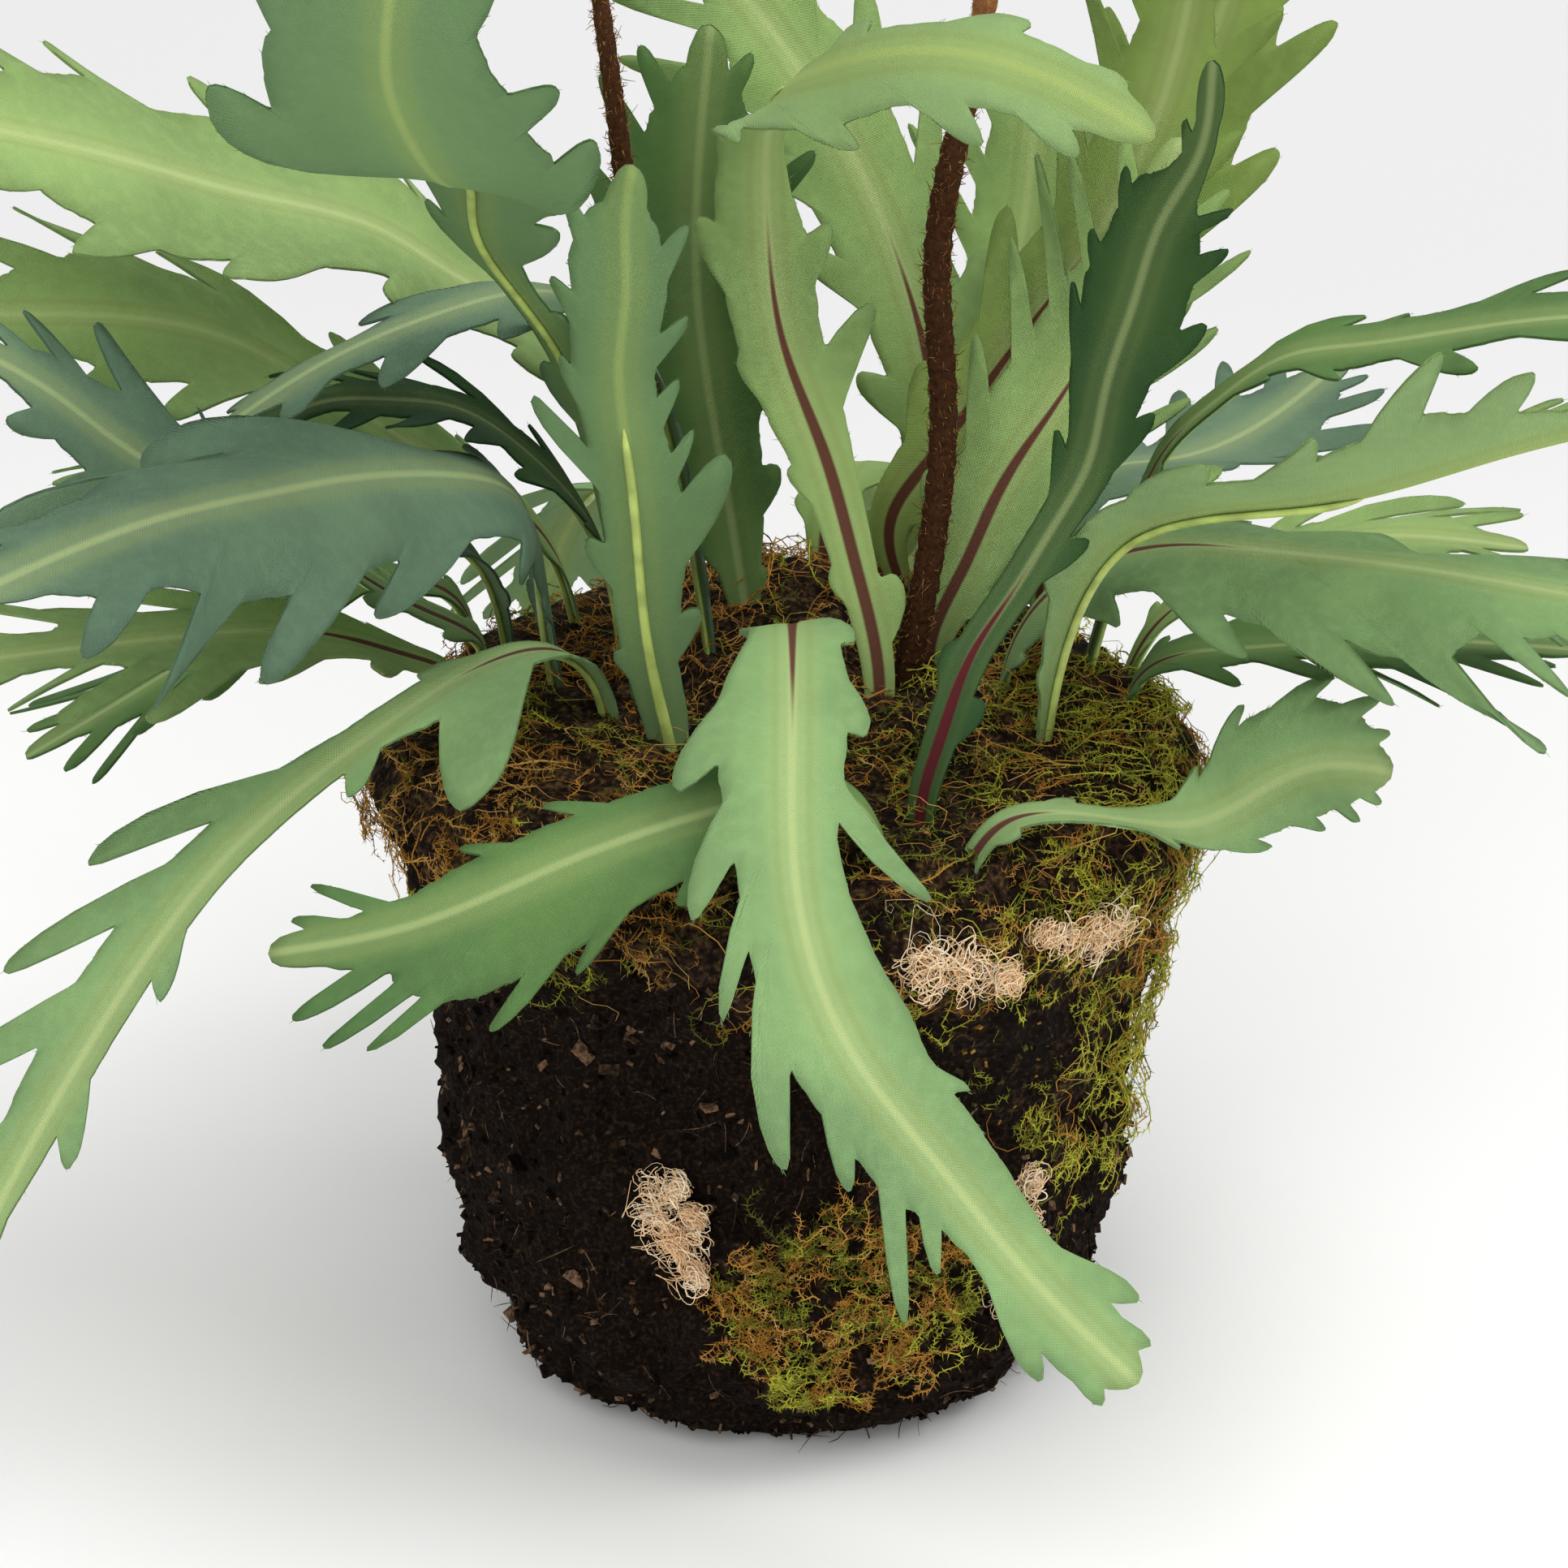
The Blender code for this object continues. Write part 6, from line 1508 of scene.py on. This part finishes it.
def build_tuft(sizes, colours, name, bearings, heights, seed, width, lift):
    """Tan tuft: thin curly fibres in a few clumps, each a wandering path of three slow waves and one curl.

    along and aside are mm on the root ball's side, along the tuft's course and across it.
    """
    rng = np.random.default_rng(seed)
    count = sizes.tuft_fibres
    t = np.linspace(0, 1, TUFT_STATIONS)[None]

    def drawn(low, high):
        return rng.uniform(low, high, count)[:, None]

    def wander(reach):
        total = drawn(-1, 1) * (t - 0.5)
        for cycles in (0.8, 1.7, 2.9):
            total = total + drawn(-1, 1) / cycles * np.sin(TURN * (cycles * t + drawn(0, 1)))
        return total * reach

    clump = rng.integers(0, TUFT_CLUMPS, count)
    clump_along = rng.permutation(np.linspace(0.04, 0.96, TUFT_CLUMPS))[clump][:, None]
    clump_aside = rng.uniform(-0.9, 0.9, TUFT_CLUMPS)[clump][:, None] * width
    loose = rng.uniform(0.3, 1.0, TUFT_CLUMPS)[clump][:, None] * np.where(drawn(0, 1) < 0.2, 1.35, 1)
    turns = drawn(1.5, 4.5) * TURN
    phase = drawn(0, TURN)
    curl = drawn(0.3, 1.3)
    course = np.array([math.radians(bearings[1] - bearings[0]) * TUFT_RADIUS, heights[1] - heights[0]])
    run = math.hypot(*course)
    course = course / run
    along = clump_along * run + loose * (wander(2.1) + drawn(-3.2, 3.2)) + curl * np.cos(turns * t + phase)
    aside = clump_aside + loose * (wander(2.0) + drawn(-2.2, 2.2)) + curl * np.sin(turns * t + phase)
    bearing = math.radians(bearings[0]) + (along * course[0] - aside * course[1]) / TUFT_RADIUS
    height = heights[0] + along * course[1] + aside * course[0]
    base, out = ball_surface(bearing, step_of_height(height))
    clear = lift + 0.1 + drawn(-1.0, 1.9) + np.abs(wander(1.2)) + 0.5 * np.sin(turns * 0.8 * t + phase)
    skin = Skin()
    thick = rng.uniform(*TUFT_RADII, count)
    add_fibres(skin, base + out * clear[..., None], thick, tone=rng.uniform(0, 1, count))
    stops = [(0.0, shades(colours.tan, 0.95)), (0.4, shades(colours.tan, 1.12)),
             (1.0, shades(colours.tan, 1.15, (0.05, 0.24, 0.30)))]
    material = toned_material(name + "_fibre", stops, roughness=0.85, grain=1200, depth=0.1, wander=0.4)
    dress(skin.make(name + "_curls", [material]), "tan_fibre", name)


def stem_path(route, coil_radius, bearing, route_count=160, coil_count=91):
    """A stem's route with a coil at its end: even turns whose radius shrinks to under half."""
    path, _ = natural_spline(route, route_count)
    tangent = unit(path[-1] - path[-2])
    toward = np.array([math.cos(math.radians(bearing)), math.sin(math.radians(bearing)), 0.0])
    toward = unit(toward - np.dot(toward, tangent) * tangent)
    angle = np.linspace(0, STEM_TURNS * TURN, coil_count)[1:]
    radius = coil_radius * (1 - 0.62 * angle / angle[-1])
    step = np.diff(np.concatenate([[0], angle]))
    heading = np.cos(angle)[:, None] * tangent + np.sin(angle)[:, None] * toward
    coil = path[-1] + np.cumsum(heading * (radius * step)[:, None], axis=0)
    return np.vstack([path, coil])


def add_hairs(skin, path, frames, share, width, green, sizes, rng):
    """Bent hairs on a stem. Each starts between the path's points k and k + 1.

    A free hair leaves nearly square to the stem and bends; a matted one is straight and
    leans far over along it.
    """
    side, other = frames
    count = sizes.stem_hairs
    place = rng.uniform(0.06, 1.0, count) * (len(path) - 1)
    k = np.clip(place.astype(int), 0, len(path) - 2)
    w = (place - k)[:, None]
    around = rng.uniform(0, TURN, count)[:, None]
    out = unit(np.cos(around) * side[k] + np.sin(around) * other[k])
    along = unit(path[k + 1] - path[k])
    centre = path[k] * (1 - w) + path[k + 1] * w
    start = centre + out * (width[k] * 0.85)[:, None]
    mat = rng.uniform(size=count) < MATTED
    lie = np.where(mat, 2.2, 0.5)[:, None]
    lengthwise = along * rng.normal(0.25, 1, (count, 1)) * lie
    direction = unit(out + lengthwise + rng.normal(0, 0.3, (count, 3)) * lie)
    length = sizes.hair_length * rng.uniform(0.45, 1.25, count) * np.interp(share[k], [0, 1], [1.0, 0.65])
    tone = rng.uniform(0.25, 0.72, count) + green[k] * rng.uniform(0.2, 1, count)
    bend = along * rng.normal(0.1, 0.5, (count, 1)) + rng.normal(0, 0.35, (count, 3)) - out * 0.2
    free = ~mat
    free_hairs = curved_paths(start[free], direction[free], bend[free], length[free], stations=3)
    add_fibres(skin, free_hairs, FREE_HAIR, tone=tone[free])
    matted_hairs = curved_paths(start[mat], direction[mat], np.zeros((1, 3)), length[mat] * 0.8, stations=2)
    add_fibres(skin, matted_hairs, MATTED_HAIR, tone=tone[mat])


def build_stem(sizes, colours, name, seed, route, radius, coil_radius, bearing, green_end):
    """Hairy stem: a rough tube that ends in a coil, covered in hairs.

    The core narrows to under half, with two fine waves on its radius.
    """
    path = stem_path(route, coil_radius, bearing)
    run = run_along(path)
    share = run / run[-1]
    width = 0.97 * radius * np.interp(share, [0, 0.45, 1], [1, 0.94, 0.45])
    width = width * (1 + 0.06 * np.sin(run * 1.9) + 0.05 * np.sin(run * 4.3 + 1))
    green = green_end * smooth_step(share, 0.45, 0.7) * 0.5
    skin = Skin()
    frames = carried_frames(path)
    add_tube(skin, path, width, frames, STEM_SIDES, tone=0.15 + green)
    add_hairs(skin, path, frames, share, width, green, sizes, np.random.default_rng(seed))
    stops = [(0.0, shades(colours.fur, 0.07)), (0.3, shades(colours.fur, 0.27)),
             (0.6, shades(colours.fur, 1)), (1.0, shades(colours.moss_green, 1.1))]
    material = toned_material(name + "_fur", stops, roughness=0.8, grain=1500, depth=0.3, wander=0.5)
    dress(skin.make(name + "_furred", [material]), "stem_fur", name)


def build_frond(frond, sizes, colours, rib):
    """One woven frond with its rib and frayed edge."""
    form = FrondForm(frond)
    skin = Skin()
    add_blade(skin, form, sizes.frond_rows, sizes.frond_columns, sizes.blade_thick)
    add_rib(skin, form, sizes.blade_thick)
    add_loose_threads(skin, form, sizes.loose_threads, frond.seed)
    base = tuple(getattr(colours, frond.cloth))
    red_end = frond.red * form.length
    top = cloth_material(frond.name + "_top", base, colours, sizes, red_end, TOP_MIDDLE, under=False)
    under = cloth_material(frond.name + "_under", base, colours, sizes, 0, UNDER_MIDDLE, under=True)
    piece = skin.make(frond.name + "_woven", [top, under, rib])
    dress(piece, "frond_fabric", frond.name)


class FERN_OT_root_ball(Operator):
    """Make the peat of the root ball"""
    bl_idname = "fern.root_ball"
    bl_label = "Root ball"

    def execute(self, context):
        build_root_ball(context.scene.fern_sizes, context.scene.fern_colours)
        return {"FINISHED"}


class FERN_OT_moss(Operator):
    """Make the moss over the top and the low patch"""
    bl_idname = "fern.moss"
    bl_label = "Moss"

    def execute(self, context):
        for build in (build_moss_cover, build_moss_fibres, build_moss_patch):
            build(context.scene.fern_sizes, context.scene.fern_colours)
        return {"FINISHED"}


class FERN_OT_tan_fibre(Operator):
    """Make the tufts of tan curled fibre"""
    bl_idname = "fern.tan_fibre"
    bl_label = "Tan fibre"

    def execute(self, context):
        for tuft in TUFTS:
            build_tuft(context.scene.fern_sizes, context.scene.fern_colours, *tuft)
        return {"FINISHED"}


class FERN_OT_stems(Operator):
    """Make the two hairy stems"""
    bl_idname = "fern.stems"
    bl_label = "Hairy stems"

    def execute(self, context):
        for stem in STEMS:
            build_stem(context.scene.fern_sizes, context.scene.fern_colours, *stem)
        return {"FINISHED"}


class FERN_OT_fronds(Operator):
    """Make every woven frond"""
    bl_idname = "fern.fronds"
    bl_label = "Fronds"

    def execute(self, context):
        rib = rib_material(context.scene.fern_colours)
        for frond in FRONDS:
            build_frond(frond, context.scene.fern_sizes, context.scene.fern_colours, rib)
        return {"FINISHED"}


def aim(name, data, place, look_at):
    """New light or camera at a place in metres that faces a point."""
    thing = bpy.data.objects.new(name, data)
    thing.location = place
    thing.rotation_euler = (Vector(look_at) - Vector(place)).to_track_quat("-Z", "Y").to_euler()
    bpy.context.scene.collection.objects.link(thing)
    return thing


def area_light(name, place, energy, size, look_at):
    """Square soft light."""
    data = bpy.data.lights.new(name, "AREA")
    data.energy = energy
    data.size = size
    aim(name, data, place, look_at)


def build_floor():
    """Wide floor of pale paper with painted shade that darkens it towards the back, faintly clouded."""
    skin = Skin()
    corners = [(-FLOOR_HALF, -FLOOR_HALF, 0), (FLOOR_HALF, -FLOOR_HALF, 0), (FLOOR_HALF, FLOOR_HALF, 0),
               (-FLOOR_HALF, FLOOR_HALF, 0)]
    skin.add(corners, (np.array([[0, 1, 2, 3]]), 0, False))
    material, tree, shader = blank("floor_paper", roughness=0.9)
    place = object_place(tree)
    depth = node(tree, "ShaderNodeSeparateXYZ", {0: place}).outputs[1]
    # Painted shade: the paper darkens from the front to the back.
    paper = blend(tree, span(tree, depth, -0.12, 0.4), (0.935, 0.935, 0.92), (0.665, 0.665, 0.665))
    cloud = noise(tree, place, scale=3, detail=2)
    tint = blend(tree, product(tree, cloud, 0.06), paper, (0.9, 0.9, 0.9))
    tree.links.new(tint, shader.inputs["Base Color"])
    shader.inputs["Specular IOR Level"].default_value = 0.2
    skin.make("studio_floor", [material])


def build_light(scene):
    """Even white surroundings, a large light high on the right and a soft one from the front."""
    world = bpy.data.worlds.new("soft_white")
    world.use_nodes = True
    surroundings = world.node_tree.nodes["Background"]
    surroundings.inputs["Color"].default_value = (1.0, 1.0, 1.0, 1)
    surroundings.inputs["Strength"].default_value = 0.80
    scene.world = world
    scene.view_settings.view_transform = "Standard"
    area_light("window", (2.6, -0.8, 4.5), energy=126.0, size=3.2, look_at=(0, 0, 0.05))
    area_light("front_fill", (-0.8, -4.6, 3.9), energy=110.0, size=4.0, look_at=(0, 0, 0))


def build_camera(scene):
    """Camera in front, raised by its elevation about the point that it looks at."""
    tilt = math.radians(CAMERA_ELEVATION)
    data = bpy.data.cameras.new("camera")
    data.lens = CAMERA_LENS
    data.sensor_width = 36.0
    data.clip_start = 0.01
    target = Vector((0, 0, LOOK_AT_HEIGHT * MM))
    back = Vector((0, -math.cos(tilt), math.sin(tilt)))
    scene.camera = aim("camera", data, target + back * (CAMERA_DISTANCE * MM), target)


class FERN_OT_studio(Operator):
    """Make the pale floor, the lights and the camera"""
    bl_idname = "fern.studio"
    bl_label = "Studio"

    def execute(self, context):
        build_floor()
        build_light(context.scene)
        build_camera(context.scene)
        return {"FINISHED"}


class FERN_PT_dressing(Panel):
    """Lists the sizes, the colours and the steps"""
    bl_idname = "FERN_PT_dressing"
    bl_label = "Fabric fern"
    bl_space_type = "VIEW_3D"
    bl_region_type = "UI"
    bl_category = "Fern"

    def draw(self, context):
        for group in (context.scene.fern_sizes, context.scene.fern_colours):
            column = self.layout.column()
            for name in group.bl_rna.properties.keys():
                if name not in ("rna_type", "name"):
                    column.prop(group, name)
        for step in STEPS:
            self.layout.operator(step.bl_idname)


STEPS = (FERN_OT_studio, FERN_OT_root_ball, FERN_OT_moss, FERN_OT_tan_fibre, FERN_OT_stems, FERN_OT_fronds)
CLASSES = (FernSizes, FernColours, *STEPS, FERN_PT_dressing)


def register():
    for entry in CLASSES:
        bpy.utils.register_class(entry)
    bpy.types.Scene.fern_sizes = PointerProperty(type=FernSizes)
    bpy.types.Scene.fern_colours = PointerProperty(type=FernColours)


def unregister():
    del bpy.types.Scene.fern_colours
    del bpy.types.Scene.fern_sizes
    for entry in reversed(CLASSES):
        bpy.utils.unregister_class(entry)


def main():
    register()
    bpy.ops.fern.studio()
    bpy.ops.fern.root_ball()
    bpy.ops.fern.moss()
    bpy.ops.fern.tan_fibre()
    bpy.ops.fern.stems()
    bpy.ops.fern.fronds()


if __name__ == "__main__":
    main()
